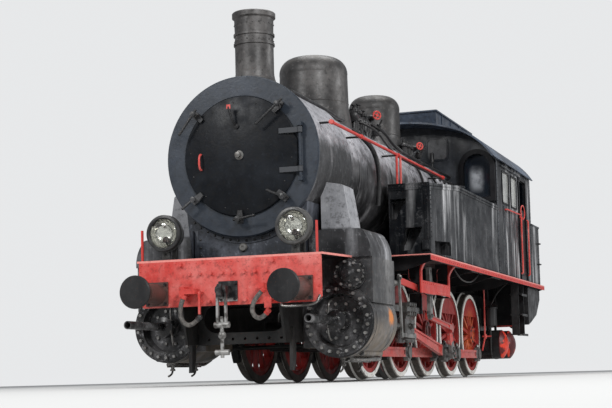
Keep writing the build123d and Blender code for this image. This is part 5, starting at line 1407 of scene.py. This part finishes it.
# Boiler fittings
def hand_wheel(work, middle, axis, radius, spokes=4, bar=0.008):
    """Add a spoked hand wheel."""
    axis, first, second = cross_axes(axis)
    work.ring(middle, axis, radius, bar, 24)
    for step in range(spokes // 2):
        angle = math.pi * step / (spokes // 2) + 0.5
        spoke = (first * math.cos(angle) + second * math.sin(angle)) * radius
        work.pipe((Vector(middle) - spoke, Vector(middle) + spoke), bar * 0.7, smooth=False)
    hub_profile = ((0, 0), (0.02, 0), (0.02, 0.024), (0, 0.024))
    work.turned(Vector(middle) - axis * 0.012, axis, hub_profile, 12)


valve_profile = (
    (0, -0.06), (0.05, -0.06), (0.05, -0.02), (0.034, 0), (0.034, 0.06),
    (0.052, 0.07), (0.058, 0.11), (0.045, 0.15), (0.028, 0.16), (0.028, 0.20),
    (0.036, 0.205), (0.036, 0.23), (0.012, 0.235), (0.012, 0.31), (0, 0.31),
)


def on_barrel(x, radius=barrel_radius):
    """Give the height of the barrel's surface at a distance from the middle."""
    return boiler_z + math.sqrt(radius**2 - x**2)


def band_boiler():
    """Lay the lagging bands round the boiler."""
    bands = Work("boiler_bands", boiler_paint, "boiler_black")
    band_profile = band(0.8595, 0.866, 0.06, 0.002, 0.85, 0.03)
    for y in (-3.85, -3.05, -1.35, -0.62, 1.15, 1.8):
        bands.turned((0, y, boiler_z), backward, band_profile, 96)
    bands.done(30)


def fit_clack_valves(valves, wheels):
    """Fit the two valves beside the domes, each with its hand wheel and a row of small bodies."""
    spindle_profile = (
        (0, -0.12), (0.05, -0.12), (0.06, -0.04), (0.045, 0.02),
        (0.03, 0.05), (0.012, 0.06), (0.012, 0.2), (0, 0.2),
    )
    ahead = Vector((0.66, -0.75, 0.05))
    # Place, height of the spindle, and radius of the hand wheel
    for x, y, z, radius in ((0.44, -1.42, 3.70, 0.056), (0.50, 0.66, 3.56, 0.05)):
        base = Vector((x, y, on_barrel(x)))
        lean = Vector((x, 0, on_barrel(x) - boiler_z)).normalized()
        valves.turned(base, lean, valve_profile, 16)
        spindle = Vector((x, y, z))
        valves.turned(spindle, ahead, spindle_profile, 16)
        hand_wheel(wheels, spindle + ahead * 0.19, ahead, radius, bar=0.011)
        # Distance of each small body ahead of the valve, and its radius
        for step, size in ((-0.16, 0.07), (-0.32, 0.085), (-0.5, 0.065)):
            body_profile = (
                (0, -0.03), (size, -0.03), (size, 0.05), (size * 0.7, 0.07), (size * 0.7, 0.15),
                (size, 0.165), (size, 0.19), (0.03, 0.22), (0.02, 0.27), (0, 0.27),
            )
            valves.turned(base + Vector((-0.03, step, 0)), upwards, body_profile, 16)


def fit_turret(valves):
    """Fit the steam turret behind the steam dome, with three stop valves on it."""
    turret_x = 0.38
    turret_profile = (
        (0, -0.42), (0.04, -0.42), (0.075, -0.40), (0.075, -0.34), (0.05, -0.32), (0.05, 0.1),
        (0.075, 0.12), (0.075, 0.18), (0.05, 0.2), (0.05, 0.36), (0, 0.38),
    )
    foot_profile = (
        (0, 0), (0.07, 0), (0.07, 0.03), (0.05, 0.05), (0.05, 0.16),
        (0.07, 0.17), (0.07, 0.2), (0.03, 0.23), (0, 0.23),
    )
    valves.turned((turret_x, -1.75, 3.62), backward, turret_profile, 18)
    # Place of each stop valve, and how far its spindle stands out
    for y, top in ((-2.06, 0.13), (-1.86, 0.17), (-1.64, 0.12)):
        stop_profile = (
            (0, -0.05), (0.05, -0.05), (0.05, 0.14), (0.035, 0.16), (0.035, 0.24),
            (0.06, 0.25), (0.062, 0.29), (0.03, 0.31), (0.016, 0.32),
            (0.016, 0.20 + top), (0.04, 0.205 + top), (0.04, 0.22 + top), (0, 0.22 + top),
        )
        valves.turned((turret_x, y, 3.44), upwards, stop_profile, 16)
    valves.turned((turret_x, -1.98, 3.40), upwards, foot_profile, 18)


def fit_safety_valves(valves):
    """Fit the two safety valves and the whistle ahead of the cab."""
    safety_profile = (
        (0, -0.05), (0.09, -0.05), (0.09, 0.03), (0.06, 0.05), (0.055, 0.16),
        (0.07, 0.17), (0.07, 0.2), (0.045, 0.22), (0.04, 0.28), (0, 0.28),
    )
    whistle_profile = (
        (0, 0), (0.02, 0), (0.02, 0.12), (0.035, 0.13),
        (0.035, 0.28), (0.02, 0.3), (0, 0.3),
    )
    for x in (-0.16, 0.16):
        valves.turned((x, 1.42, on_barrel(x)), upwards, safety_profile, 20)
    valves.turned((0.55, 1.55, 3.32), upwards, whistle_profile, 14)


def fit_valves():
    """Fit the boiler's valves and their red hand wheels."""
    valves = Work("boiler_valves", black_paint, "boiler_black")
    wheels = Work("valve_hand_wheels", beam_paint, "beam_red")
    fit_clack_valves(valves, wheels)
    fit_turret(valves)
    fit_safety_valves(valves)
    valves.done()
    wheels.done()


def run_boiler_pipes():
    """Run steam, feed, sand and exhaust pipes along both sides of the boiler."""
    pipes = Work("boiler_pipes", black_paint, "boiler_black")
    steam_pipe = (
        (0.42, -1.50, 3.62),
        (0.62, -1.42, 3.52),
        (0.70, -1.2, 3.30),
        (0.72, -0.6, 3.26),
        (0.72, 1.7, 3.26),
        (0.72, 2.02, 3.26),
    )
    feed_pipe = (
        (0.36, -2.0, 3.58),
        (0.60, -1.9, 3.52),
        (0.80, -1.7, 3.16),
        (0.83, -1.2, 3.10),
        (0.83, 1.6, 3.10),
        (0.83, 2.02, 3.10),
    )
    blower_pipe = (
        (0.60, -5.18, 3.395),
        (0.60, -4.0, 3.395),
        (0.60, -3.4, 3.36),
        (0.52, -2.9, 3.42),
        (0.44, -2.75, 3.47),
    )
    drop_pipe = (
        (0.62, -2.9, 3.30),
        (0.80, -2.8, 3.14),
        (0.90, -2.72, 2.9),
        (0.915, -2.7, 2.6),
        (0.87, -2.65, 2.30),
    )
    for sign in (-1, 1):
        for route, radius in ((steam_pipe, 0.024), (feed_pipe, 0.018), (blower_pipe, 0.019)):
            pipes.pipe(mirrored(sign, route), radius)
        # Sand pipes, from the dome down and apart
        for y, lean in ((0.02, -0.35), (0.40, 0.35)):
            sand_pipe = (
                (0.33, y, 3.56),
                (0.47, y, 3.44),
                (0.70, y + lean * 0.4, 3.22),
                (0.868, y + lean * 0.8, 2.95),
                (0.905, y + lean, 2.60),
                (0.90, y + lean, 2.40),
            )
            pipes.pipe(mirrored(sign, sand_pipe), 0.019)
    for sign in signs:
        pipes.pipe(mirrored(sign, drop_pipe), 0.032)
    pipes.done()


def fit_washout_plugs():
    """Fit the washout plugs over the firebox."""
    plugs = Heads("washout_plugs", 0.03, 0.03, cast_metal, "boiler_black", six=True)
    for sign in (-1, 1):
        out = boiler_spoke(32)
        out.x *= sign
        for y in (0.95, 1.25, 1.55, 1.85):
            plugs.at(Vector((0, y, boiler_z)) + out * barrel_radius, out)
    plugs.done()


def fit_rail_uprights():
    """Fit the uprights between the tanks and the boiler's hand rails, and the rails' front caps."""
    reds = Work("rail_uprights", beam_paint, "beam_red")
    cap_profile = ((0, -0.01), (0.026, -0.008), (0.028, 0.006), (0, 0.014))
    for sign in (-1, 1):
        for y in (-2.15, -1.965):
            reds.pipe(((sign * rail_x, y, 2.60), (sign * rail_x, y, rail_z)), 0.017, smooth=False)
        reds.turned((sign * rail_x, -4.93, rail_z), forward, cap_profile, 16)
    reds.done()


def dress_domes():
    """Rivet the chimney's seams and lay the domes' seams."""
    rivets = Heads("dome_rivets", 0.011, 0.008, dome_paint, "dome_brown")
    for z, radius in ((4.115, 0.234), (4.315, 0.237)):
        for step in range(20):
            angle = 2 * math.pi * step / 20
            out = Vector((math.cos(angle), math.sin(angle), 0))
            rivets.at(Vector((0, chimney_y, z)) + out * radius, out)
    rivets.done()
    seams = Work("dome_seams", dome_paint, "dome_brown")
    seams.ring((0, steam_dome_y, 3.71), upwards, 0.4635, 0.006, 64)
    seams.ring((0, sand_dome_y, 3.70), upwards, 0.3925, 0.006, 64)
    seams.done()


# Tanks, cab and bunker
def rounded(low_u, low_v, high_u, high_v, radius, steps=5):
    """Give a rectangle with rounded corners as a list of points."""
    points = []
    corners = (
        (high_u - radius, high_v - radius, 0),
        (low_u + radius, high_v - radius, 90),
        (low_u + radius, low_v + radius, 180),
        (high_u - radius, low_v + radius, 270),
    )
    for u, v, start in corners:
        for step in range(steps + 1):
            angle = math.radians(start + 90 * step / steps)
            points.append((u + radius * math.cos(angle), v + radius * math.sin(angle)))
    return points


def arched(middle, half, bottom, spring, steps=16):
    """Give an arched window's outline as a list of points."""
    points = [(middle - half, bottom), (middle + half, bottom)]
    for step in range(steps + 1):
        angle = math.pi * step / steps
        points.append((middle + half * math.cos(angle), spring + half * math.sin(angle)))
    return points


def tank_top(y):
    """Give the height of the tanks' top, which rises from the front."""
    return 2.59 + min(1, (y + 2.4) / 1.65) * 0.155


def dress_tanks():
    """Add the tanks' top angles, corner strips, recess borders and lids, with their rivets."""
    edging = Work("tank_edging", tank_paint, "black_paint")
    rivets = Heads("tank_rivets", 0.0105, 0.008, tank_paint, "black_paint")
    angle_x = side_x + 0.011
    strip_x = side_x + 0.010
    top_z = 2.745
    top_line = ((-2.4, tank_top(-2.4)), (-0.75, top_z), (2.0, top_z))
    top_angle = [*top_line, *[(y, z - 0.075) for y, z in reversed(top_line)]]
    corner_strip = ((-2.4, 1.66), (-2.32, 1.66), (-2.32, 2.52), (-2.4, 2.52))
    recess_outer = (
        (0.945, 2.415), (1.197, 2.415), (1.197, 2.322),
        (1.137, 2.277), (1.055, 2.115), (0.945, 2.115),
    )
    recess_inner = (
        (0.96, 2.40), (1.18, 2.40), (1.18, 2.33),
        (1.125, 2.29), (1.045, 2.13), (0.96, 2.13),
    )
    lid_profile = (
        (0, 0), (0.22, 0), (0.22, 0.05), (0.235, 0.055),
        (0.235, 0.075), (0.1, 0.095), (0, 0.1),
    )
    for sign in signs:
        place = on_side(sign * side_x)
        out = (sign, 0, 0)
        # Top angle, along the side and across the front
        edging.plate(top_angle, place, 0.011, 0.002)
        for ahead, low_z, high_z in ((0.012, 2.515, 2.60), (0.022, 2.588, 2.602)):
            low = (tank_front_y - ahead, low_z)
            edging.flank(sign, tank_inner_x, angle_x, low, (tank_front_y, high_z), 0.003)
        # Corner strip, with the lug at its foot
        edging.plate(corner_strip, place, 0.010, 0.002)
        edging.flank(sign, 1.43, strip_x, (tank_front_y - 0.010, 1.66), (tank_front_y, 2.52), 0.003)
        edging.flank(sign, 1.40, 1.505, (tank_front_y - 0.05, 1.70), (tank_front_y, 1.83), 0.012)
        front_y = tank_front_y - 0.012
        rivets.row((sign * 0.97, front_y, 2.55), (sign * 1.48, front_y, 2.55), 0.037, forward)
        front_y = tank_front_y - 0.010
        rivets.row((sign * 1.465, front_y, 1.88), (sign * 1.465, front_y, 2.49), 0.055, forward)
        x = sign * angle_x
        rivets.row((x, -2.36, tank_top(-2.36) - 0.038), (x, -0.75, 2.707), 0.06, out)
        rivets.row((x, -0.69, 2.707), (x, 1.96, 2.707), 0.06, out)
        x = sign * strip_x
        rivets.row((x, -2.36, 1.88), (x, -2.36, 2.49), 0.06, out)
        # Border of the recess in the front
        edging.strip(
            [(sign * u, v) for u, v in recess_outer],
            [(sign * u, v) for u, v in recess_inner],
            on_front(tank_front_y),
            0.006,
        )
        # Filler lid on top
        edging.turned((sign * 1.22, -0.1, 2.74), upwards, lid_profile, 32)
    edging.done()
    rivets.done()


def frame_windows():
    """Frame the cab's windows and doorways, with deep hoods in front."""
    frames = Work("window_frames", hood_black, "black_paint")
    for x in (-1.195, 1.195):
        outer = arched(x, 0.30, 2.822, 3.38)
        inner = arched(x, 0.222, 2.89, 3.38)
        frames.strip(outer, inner, on_front(cab_front_y), 0.10)
        frames.strip(outer, inner, on_back(cab_rear_y), 0.03)
    # Low and high corners of the side windows, as y and z
    side_windows = ((2.44, 2.86, 2.95, 3.36), (3.15, 2.86, 3.60, 3.36))
    doorway = (
        (3.735, 1.66), (3.735, 3.44), (4.385, 3.44), (4.385, 1.66),
        (4.335, 1.66), (4.335, 3.39), (3.785, 3.39), (3.785, 1.66),
    )
    for sign in signs:
        place = on_side(sign * side_x)
        for low_y, low_z, high_y, high_z in side_windows:
            outer = rounded(low_y - 0.03, low_z - 0.03, high_y + 0.03, high_z + 0.03, 0.05)
            inner = rounded(low_y - 0.002, low_z - 0.002, high_y + 0.002, high_z + 0.002, 0.035)
            frames.strip(outer, inner, place, 0.009)
        frames.plate(doorway, place, 0.022, 0.004)
    frames.done()


def seam_cab():
    """Add the cab's seams, gutters, hatches and rivets, and the bunker's rim."""
    seams = Work("cab_seams", cab_paint, "black_paint")
    rivets = Heads("cab_rivets", 0.009, 0.007, tank_paint, "black_paint")
    gutter = ((2.3, 3.43), (3.68, 3.43), (3.68, 3.455), (2.3, 3.455))
    foot_z = 1.66
    for sign in signs:
        place = on_side(sign * side_x)
        out = (sign, 0, 0)
        x = sign * (side_x + 0.007)
        for y, top in ((2.0, 3.5), (2.5, 2.79)):
            cover = ((y - 0.03, foot_z), (y + 0.03, foot_z), (y + 0.03, top), (y - 0.03, top))
            seams.plate(cover, place, 0.007, 0.002)
            rivets.row((x, y, 1.70), (x, y, top - 0.04), 0.07, out)
        x = sign * side_x
        for y, top in ((4.86, 3.46), (5.59, 2.68)):
            rivets.row((x, y, 1.70), (x, y, top), 0.07, out)
        for start_y, end_y in ((-2.1, 3.6), (4.45, 5.55)):
            rivets.row((x, start_y, foot_z + 0.005), (x, end_y, foot_z + 0.005), 0.09, out)
        seams.plate(gutter, place, 0.03, 0.004)
    hatches = Work("cab_hatches", hatch_grey, "black_paint")
    for x in (-0.53, 0.53):
        outer = rounded(x - 0.185, 3.545, x + 0.185, 3.925, 0.08)
        inner = rounded(x - 0.16, 3.57, x + 0.16, 3.90, 0.06)
        seams.strip(outer, inner, on_front(cab_front_y), 0.018)
        panel = rounded(x - 0.158, 3.572, x + 0.158, 3.898, 0.06)
        hatches.plate(panel, on_front(cab_front_y), 0.009)
    hatches.done()
    rim_x = side_x + 0.012
    seams.block((-rim_x, 5.60, 2.69), (rim_x, 5.632, 2.722), 0.006)
    for sign in (-1, 1):
        seams.flank(sign, side_x - 0.02, rim_x, (4.89, 2.69), (5.62, 2.722), 0.006)
    seams.done()
    rivets.done()


def rail_cab():
    """Fit the cab's red rails and rings and the bunker's rungs."""
    rails = Work("cab_rails", beam_paint, "beam_red")
    rungs = Work("bunker_rungs", black_paint, "black_paint")
    rail_out_x = side_x + 0.04
    ring_x = side_x + 0.036
    rung_x = side_x + 0.05
    long_rail = (
        (side_x, 2.60, 2.745),
        (rail_out_x, 2.60, 2.745),
        (rail_out_x, 2.64, 2.745),
        (rail_out_x, 3.70, 2.765),
        (rail_out_x, 3.745, 2.765),
    )
    ring_arm = ((side_x + 0.02, 3.75, 2.72), (ring_x, 3.835, 2.80))
    for sign in signs:
        rails.pipe(mirrored(sign, long_rail), 0.0125)
        rails.ring((sign * ring_x, 3.95, 2.83), (sign * 0.995, -0.08, 0), 0.12, 0.0115)
        rails.pipe(mirrored(sign, ring_arm), 0.011, smooth=False)
        for z in (2.02, 2.40):
            rung = ((side_x, 5.36, z), (rung_x, 5.36, z), (rung_x, 5.58, z), (side_x, 5.58, z))
            rungs.pipe(mirrored(sign, rung), 0.009)
    rails.done()
    rungs.done()


def rib_roof():
    """Add the ventilator's cover plate and its ribs to the roof."""
    roof = Work("roof_ribs", roof_paint, "black_paint")
    roof.block((-0.615, 1.69, 4.318), (0.615, 4.27, 4.345), 0.006)
    for y in (2.1, 2.7, 3.3, 3.9):
        roof.block((-0.605, y, 4.10), (-0.588, y + 0.03, 4.32), 0.003)
        roof.block((0.588, y, 4.10), (0.605, y + 0.03, 4.32), 0.003)
    roof.done()


# Running gear
def oil_rods():
    """Add oil cups, nuts and big-end keeps to the rods and crossheads."""
    cup_profile = (
        (0, -0.012), (0.03, -0.012), (0.03, 0.02), (0.024, 0.034),
        (0.012, 0.036), (0.012, 0.05), (0, 0.052),
    )
    for side, sign in sides:
        out = (sign, 0, 0)
        cups = Work(f"coupling_oil_cups_{side}", works_metal, "bare_steel", f"coupling_rod_{side}")
        for x, y, z in coupling_ends(side):
            cups.turned((x, y, z + 0.118), upwards, cup_profile, 14)
        cups.done()
        small_end, big_end = rod_ends(side)
        cups = Work(f"main_rod_oil_cups_{side}", works_metal, "bare_steel", f"main_rod_{side}")
        x, y, z = big_end
        cups.turned((x, y, z + 0.135), upwards, cup_profile, 14)
        for dy in (-0.16, 0.16):
            cups.block((x - 0.045, y + dy - 0.02, z - 0.11), (x + 0.045, y + dy + 0.02, z + 0.11), 0.006)
        cups.done()
        body = f"main_rod_{side}"
        nuts = Heads(f"return_crank_nuts_{side}", 0.026, 0.022, works_metal, "bare_steel", body, six=True)
        nuts.circle((x + sign * 0.144, y, z), 0.055, 4, out, start=0.4)
        nuts.done()
        body = f"crosshead_{side}"
        nuts = Heads(f"crosshead_nuts_{side}", 0.034, 0.03, works_metal, "bare_steel", body, six=True)
        face_x = sign * (cylinder_x + 0.10)
        nuts.at((face_x, small_end[1], axle_z), out)
        for dy in (-0.15, -0.05, 0.05, 0.15):
            for z in (0.868, 0.992):
                nuts.at((face_x, small_end[1] + dy, z), out)
        nuts.done()


def cap_wheels():
    """Add bolts and turned rings to the wheel centres."""
    hub_ring = ((0.07, 0), (0.096, 0), (0.096, 0.012), (0.088, 0.018), (0.07, 0.018), (0.07, 0))
    rim_ring = ((0.566, 0), (0.594, 0), (0.594, 0.005), (0.566, 0.008), (0.566, 0))
    for number, axle_y in enumerate(axle_ys, start=1):
        body = f"wheelset_{number}"
        caps = Heads(f"wheel_pins_{number}", 0.018, 0.016, works_metal, "bare_steel", body, six=True)
        for sign in signs:
            caps.circle((sign * 0.838, axle_y, axle_z), 0.115, 6, (sign, 0, 0))
        caps.done()
        rings = Work(f"wheel_rings_{number}", node_finish[f"wheel_centres_{number}"], "frame_red", body)
        for sign in signs:
            out = (sign, 0, 0)
            rings.turned((sign * 0.836, axle_y, axle_z), out, hub_ring, 32)
            rings.turned((sign * 0.806, axle_y, axle_z), out, rim_ring, 72)
        rings.done()


def pin_gear():
    """Add pins to the valve gear's links and rivets to the motion brackets."""
    pins = Heads("gear_pins", 0.03, 0.02, works_metal, "bare_steel", six=True)
    rivets = Heads("bracket_rivets", 0.013, 0.01, beam_paint, "beam_red")
    rivet_x = 1.33
    for sign in signs:
        out = (sign, 0, 0)
        for x, y, z in ((1.281, -3.15, 1.30), (1.307, -1.70, 0.857)):
            pins.at((sign * x, y, z), out)
        x = sign * rivet_x
        rivets.row((x, -2.2, 1.285), (x, -0.8, 1.285), 0.11, out)
        rivets.row((x, -1.45, 1.185), (x, -0.8, 1.185), 0.11, out)
    pins.done()
    rivets.done()


def box_underframe():
    """Add the firebox's casing, the underframe's box and the reservoirs' carrier between the frames."""
    half = 0.57
    firebox = Work("firebox_casing", frame_paint, "black_paint")
    firebox.block((-half, 0.45, 1.22), (half, 2.30, 1.66), 0.02)
    for y in (0.45, 1.05, 1.66, 2.26):
        firebox.block((-half - 0.012, y, 1.21), (half + 0.012, y + 0.04, 1.64), 0.004)
    firebox.done()
    box = Work("underframe_box", frame_paint, "black_paint")
    box.block((-half, 2.31, 1.34), (half, 5.60, 1.62), 0.02)
    for y in (2.9, 3.5, 4.1, 4.7, 5.3):
        box.block((-half - 0.01, y, 1.33), (half + 0.01, y + 0.04, 1.61), 0.004)
    # Carrier of the two air reservoirs
    box.block((-half, 3.60, 0.80), (half, 5.25, 1.12), 0.02)
    box.done()


def run_brake_pipes():
    """Run the red brake pipes down beside the brake cylinders, each with a tee and a branch."""
    pipes = Work("brake_pipes", beam_paint, "beam_red")
    x = 0.92
    y = 3.385
    down_pipe = ((x, y, 1.58), (x, y, 0.70), (x - 0.02, y - 0.02, 0.58), (x - 0.05, y - 0.04, 0.44))
    branch = ((x - 0.05, y, 0.68), (x + 0.10, y + 0.02, 0.68))
    tee_profile = ((0, 0), (0.022, 0), (0.024, 0.01), (0.024, 0.07), (0.02, 0.08), (0, 0.08))
    for sign in signs:
        pipes.pipe(mirrored(sign, down_pipe), 0.014)
        pipes.turned((sign * x, y, 0.64), upwards, tee_profile, 16)
        pipes.pipe(mirrored(sign, branch), 0.014, smooth=False)
    pipes.done()


def bolt_frames():
    """Bolt the frame plates at the front and round each axlebox."""
    bolts = Heads("frame_bolts", 0.017, 0.016, frame_paint, "black_paint")
    for sign in signs:
        out = (sign, 0, 0)
        x = sign * 0.615
        bolts.row((x, -5.6, 1.38), (x, -4.9, 1.38), 0.1, out)
        for axle_y in axle_ys:
            for y in (axle_y - 0.17, axle_y + 0.17):
                bolts.row((x, y, 0.68), (x, y, 1.0), 0.08, out)
    bolts.done()


def strap_reservoirs():
    """Strap the air reservoirs to the frame."""
    straps = Work("reservoir_straps", frame_paint, "black_paint")
    strap_profile = band(0.2445, 0.250, 0.05, 0.001, 0.24, 0.02)
    for y in (3.72, 4.33):
        for x in (-0.9, 0.9):
            straps.turned((x - 0.025, y, 0.545), (1, 0, 0), strap_profile, 48)
            straps.block((x - 0.02, y - 0.02, 0.785), (x + 0.02, y + 0.02, 1.62), 0.003)
    straps.done()


def rivet_boards():
    """Rivet the running boards' edges."""
    rivets = Heads("board_rivets", 0.0085, 0.006, board_paint, "frame_red")
    z = board_top - 0.05
    for sign in signs:
        rivets.row((sign * 1.55, -2.55, z), (sign * 1.55, 5.7, z), 0.12, (sign, 0, 0))
    rivets.done()


def run_board_pipes():
    """Run small pipes below the running boards."""
    pipes = Work("board_pipes", frame_paint, "black_paint")
    train_pipe = ((1.44, -2.3, 1.595), (1.44, 4.4, 1.595))
    cylinder_pipe = (
        (1.38, -0.7, 1.60),
        (1.38, 3.3, 1.60),
        (1.30, 3.42, 1.56),
        (1.1, 3.46, 1.40),
        (1.0, 3.48, 1.18),
    )
    # Air pipe slung below the board behind the motion
    slung_pipe = (
        (1.36, -0.6, 1.59),
        (1.40, -0.45, 1.44),
        (1.40, 0.1, 1.40),
        (1.40, 0.6, 1.46),
        (1.40, 0.9, 1.59),
    )
    for sign in signs:
        pipes.pipe(mirrored(sign, train_pipe), 0.016, smooth=False)
        pipes.pipe(mirrored(sign, cylinder_pipe), 0.013)
        pipes.pipe(mirrored(sign, slung_pipe), 0.011)
    pipes.done()


band_boiler()
fit_valves()
run_boiler_pipes()
fit_washout_plugs()
fit_rail_uprights()
dress_domes()
dress_tanks()
frame_windows()
seam_cab()
rail_cab()
rib_roof()
oil_rods()
cap_wheels()
pin_gear()
box_underframe()
run_brake_pipes()
bolt_frames()
strap_reservoirs()
rivet_boards()
run_board_pipes()


# Brake hoses: each route in one upright plane, as x and z from the cock to the head
hose_y = -5.85
hose_diameter = 0.052
hose_routes = (
    (
        "brake_hose_right",
        ((-0.509, 0.985), (-0.561, 0.863), (-0.520, 0.714), (-0.411, 0.671), (-0.336, 0.743)),
    ),
    (
        "brake_hose_left",
        ((0.448, 1.034), (0.363, 0.954), (0.318, 0.839), (0.352, 0.754), (0.435, 0.723), (0.490, 0.782)),
    ),
)
head_finish = {"brake_hose_right": cast_metal, "brake_hose_left": beam_paint}
head_profile = (
    (0, -0.004),
    (0.030, -0.004),
    (0.032, 0.004),
    (0.032, 0.014),
    (0.027, 0.018),
    (0.030, 0.026),
    (0.034, 0.036),
    (0.033, 0.050),
    (0.026, 0.062),
    (0.018, 0.068),
    (0, 0.0705),
)


def hose_head(name, route):
    """Make the coupling head on the end of a brake hose."""
    end = Vector((route[-1][0], hose_y, route[-1][1]))
    before = Vector((route[-2][0], hose_y, route[-2][1]))
    head = Work(name + "_head", head_finish[name], "beam_red")
    head.turned(end, end - before, head_profile, 24)
    piece = head.done()
    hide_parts("hose_heads")
    return piece


def hang_hose(name, route):
    """Hang a brake hose along its route, as one smooth curve, with its coupling head."""
    curve = bpy.data.curves.new(name, "CURVE")
    curve.dimensions = "3D"
    curve.bevel_depth = hose_diameter / 2
    curve.bevel_resolution = 6
    curve.resolution_u = 16
    curve.use_fill_caps = True
    spline = curve.splines.new("NURBS")
    spline.points.add(len(route) - 1)
    for point, (x, z) in zip(spline.points, route):
        point.co = (x, hose_y, z, 1)
    spline.order_u = 3
    spline.use_endpoint_u = True
    curve.materials.append(rubber)
    hose = bpy.data.objects.new(name + "_rubber", curve)
    bpy.context.collection.objects.link(hose)
    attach(hose, "locomotive")
    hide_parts(name)
    hose_head(name, route)


for name, route in hose_routes:
    hang_hose(name, route)


# Floor, lights and surroundings
def lay_floor():
    """Lay a plain pale floor at the flange tips."""
    work = bmesh.new()
    bmesh.ops.create_grid(work, x_segments=1, y_segments=1, size=60)
    mesh = bpy.data.meshes.new("floor")
    work.to_mesh(mesh)
    work.free()
    floor = bpy.data.objects.new("floor", mesh)
    bpy.context.collection.objects.link(floor)
    pale = Finish("pale floor", specular=0.2)
    mesh.materials.append(pale.done((0.62, 0.62, 0.61, 1), 0.9))


def hang_lamp(name, place, aim, size, power):
    """Hang a soft square lamp, in watts, that looks at a point."""
    lamp = bpy.data.lights.new(name, "AREA")
    lamp.shape = "SQUARE"
    lamp.size = size
    lamp.energy = power
    holder = bpy.data.objects.new(name, lamp)
    bpy.context.collection.objects.link(holder)
    holder.location = place
    holder.rotation_euler = (Vector(aim) - Vector(place)).to_track_quat("-Z", "Y").to_euler()


def light_studio():
    """Light the locomotive softly from above, with a key from the front left."""
    world = bpy.data.worlds.new("studio")
    world.use_nodes = True
    nodes = world.node_tree.nodes
    links = world.node_tree.links
    sky = nodes["Background"]
    sky.inputs["Color"].default_value = (0.88, 0.91, 0.95, 1)
    sky.inputs["Strength"].default_value = 0.42
    seen = nodes.new("ShaderNodeBackground")
    seen.inputs["Color"].default_value = (0.80, 0.81, 0.82, 1)
    seen.inputs["Strength"].default_value = 1.0
    path = nodes.new("ShaderNodeLightPath")
    either = nodes.new("ShaderNodeMath")
    either.operation = "MAXIMUM"
    links.new(path.outputs["Is Camera Ray"], either.inputs[0])
    links.new(path.outputs["Is Transmission Ray"], either.inputs[1])
    mix = nodes.new("ShaderNodeMixShader")
    links.new(either.outputs[0], mix.inputs[0])
    links.new(sky.outputs[0], mix.inputs[1])
    links.new(seen.outputs[0], mix.inputs[2])
    links.new(mix.outputs[0], nodes["World Output"].inputs["Surface"])
    bpy.context.scene.world = world
    # Name, place, point looked at, width and watts of each lamp
    lamps = (
        ("key", (14, -20, 14), (0, -2, 2), 5, 3300),
        ("top", (0, 2, 16), (0, 0, 2), 10, 1500),
        ("side", (18, 4, 7), (0, 1, 2), 7, 1100),
        ("front", (-8, -22, 12), (0, -5, 2), 4, 1500),
    )
    for name, place, aim, size, power in lamps:
        hang_lamp(name, place, aim, size, power)


lay_floor()
light_studio()
scene = bpy.context.scene
scene.view_settings.view_transform = "Standard"
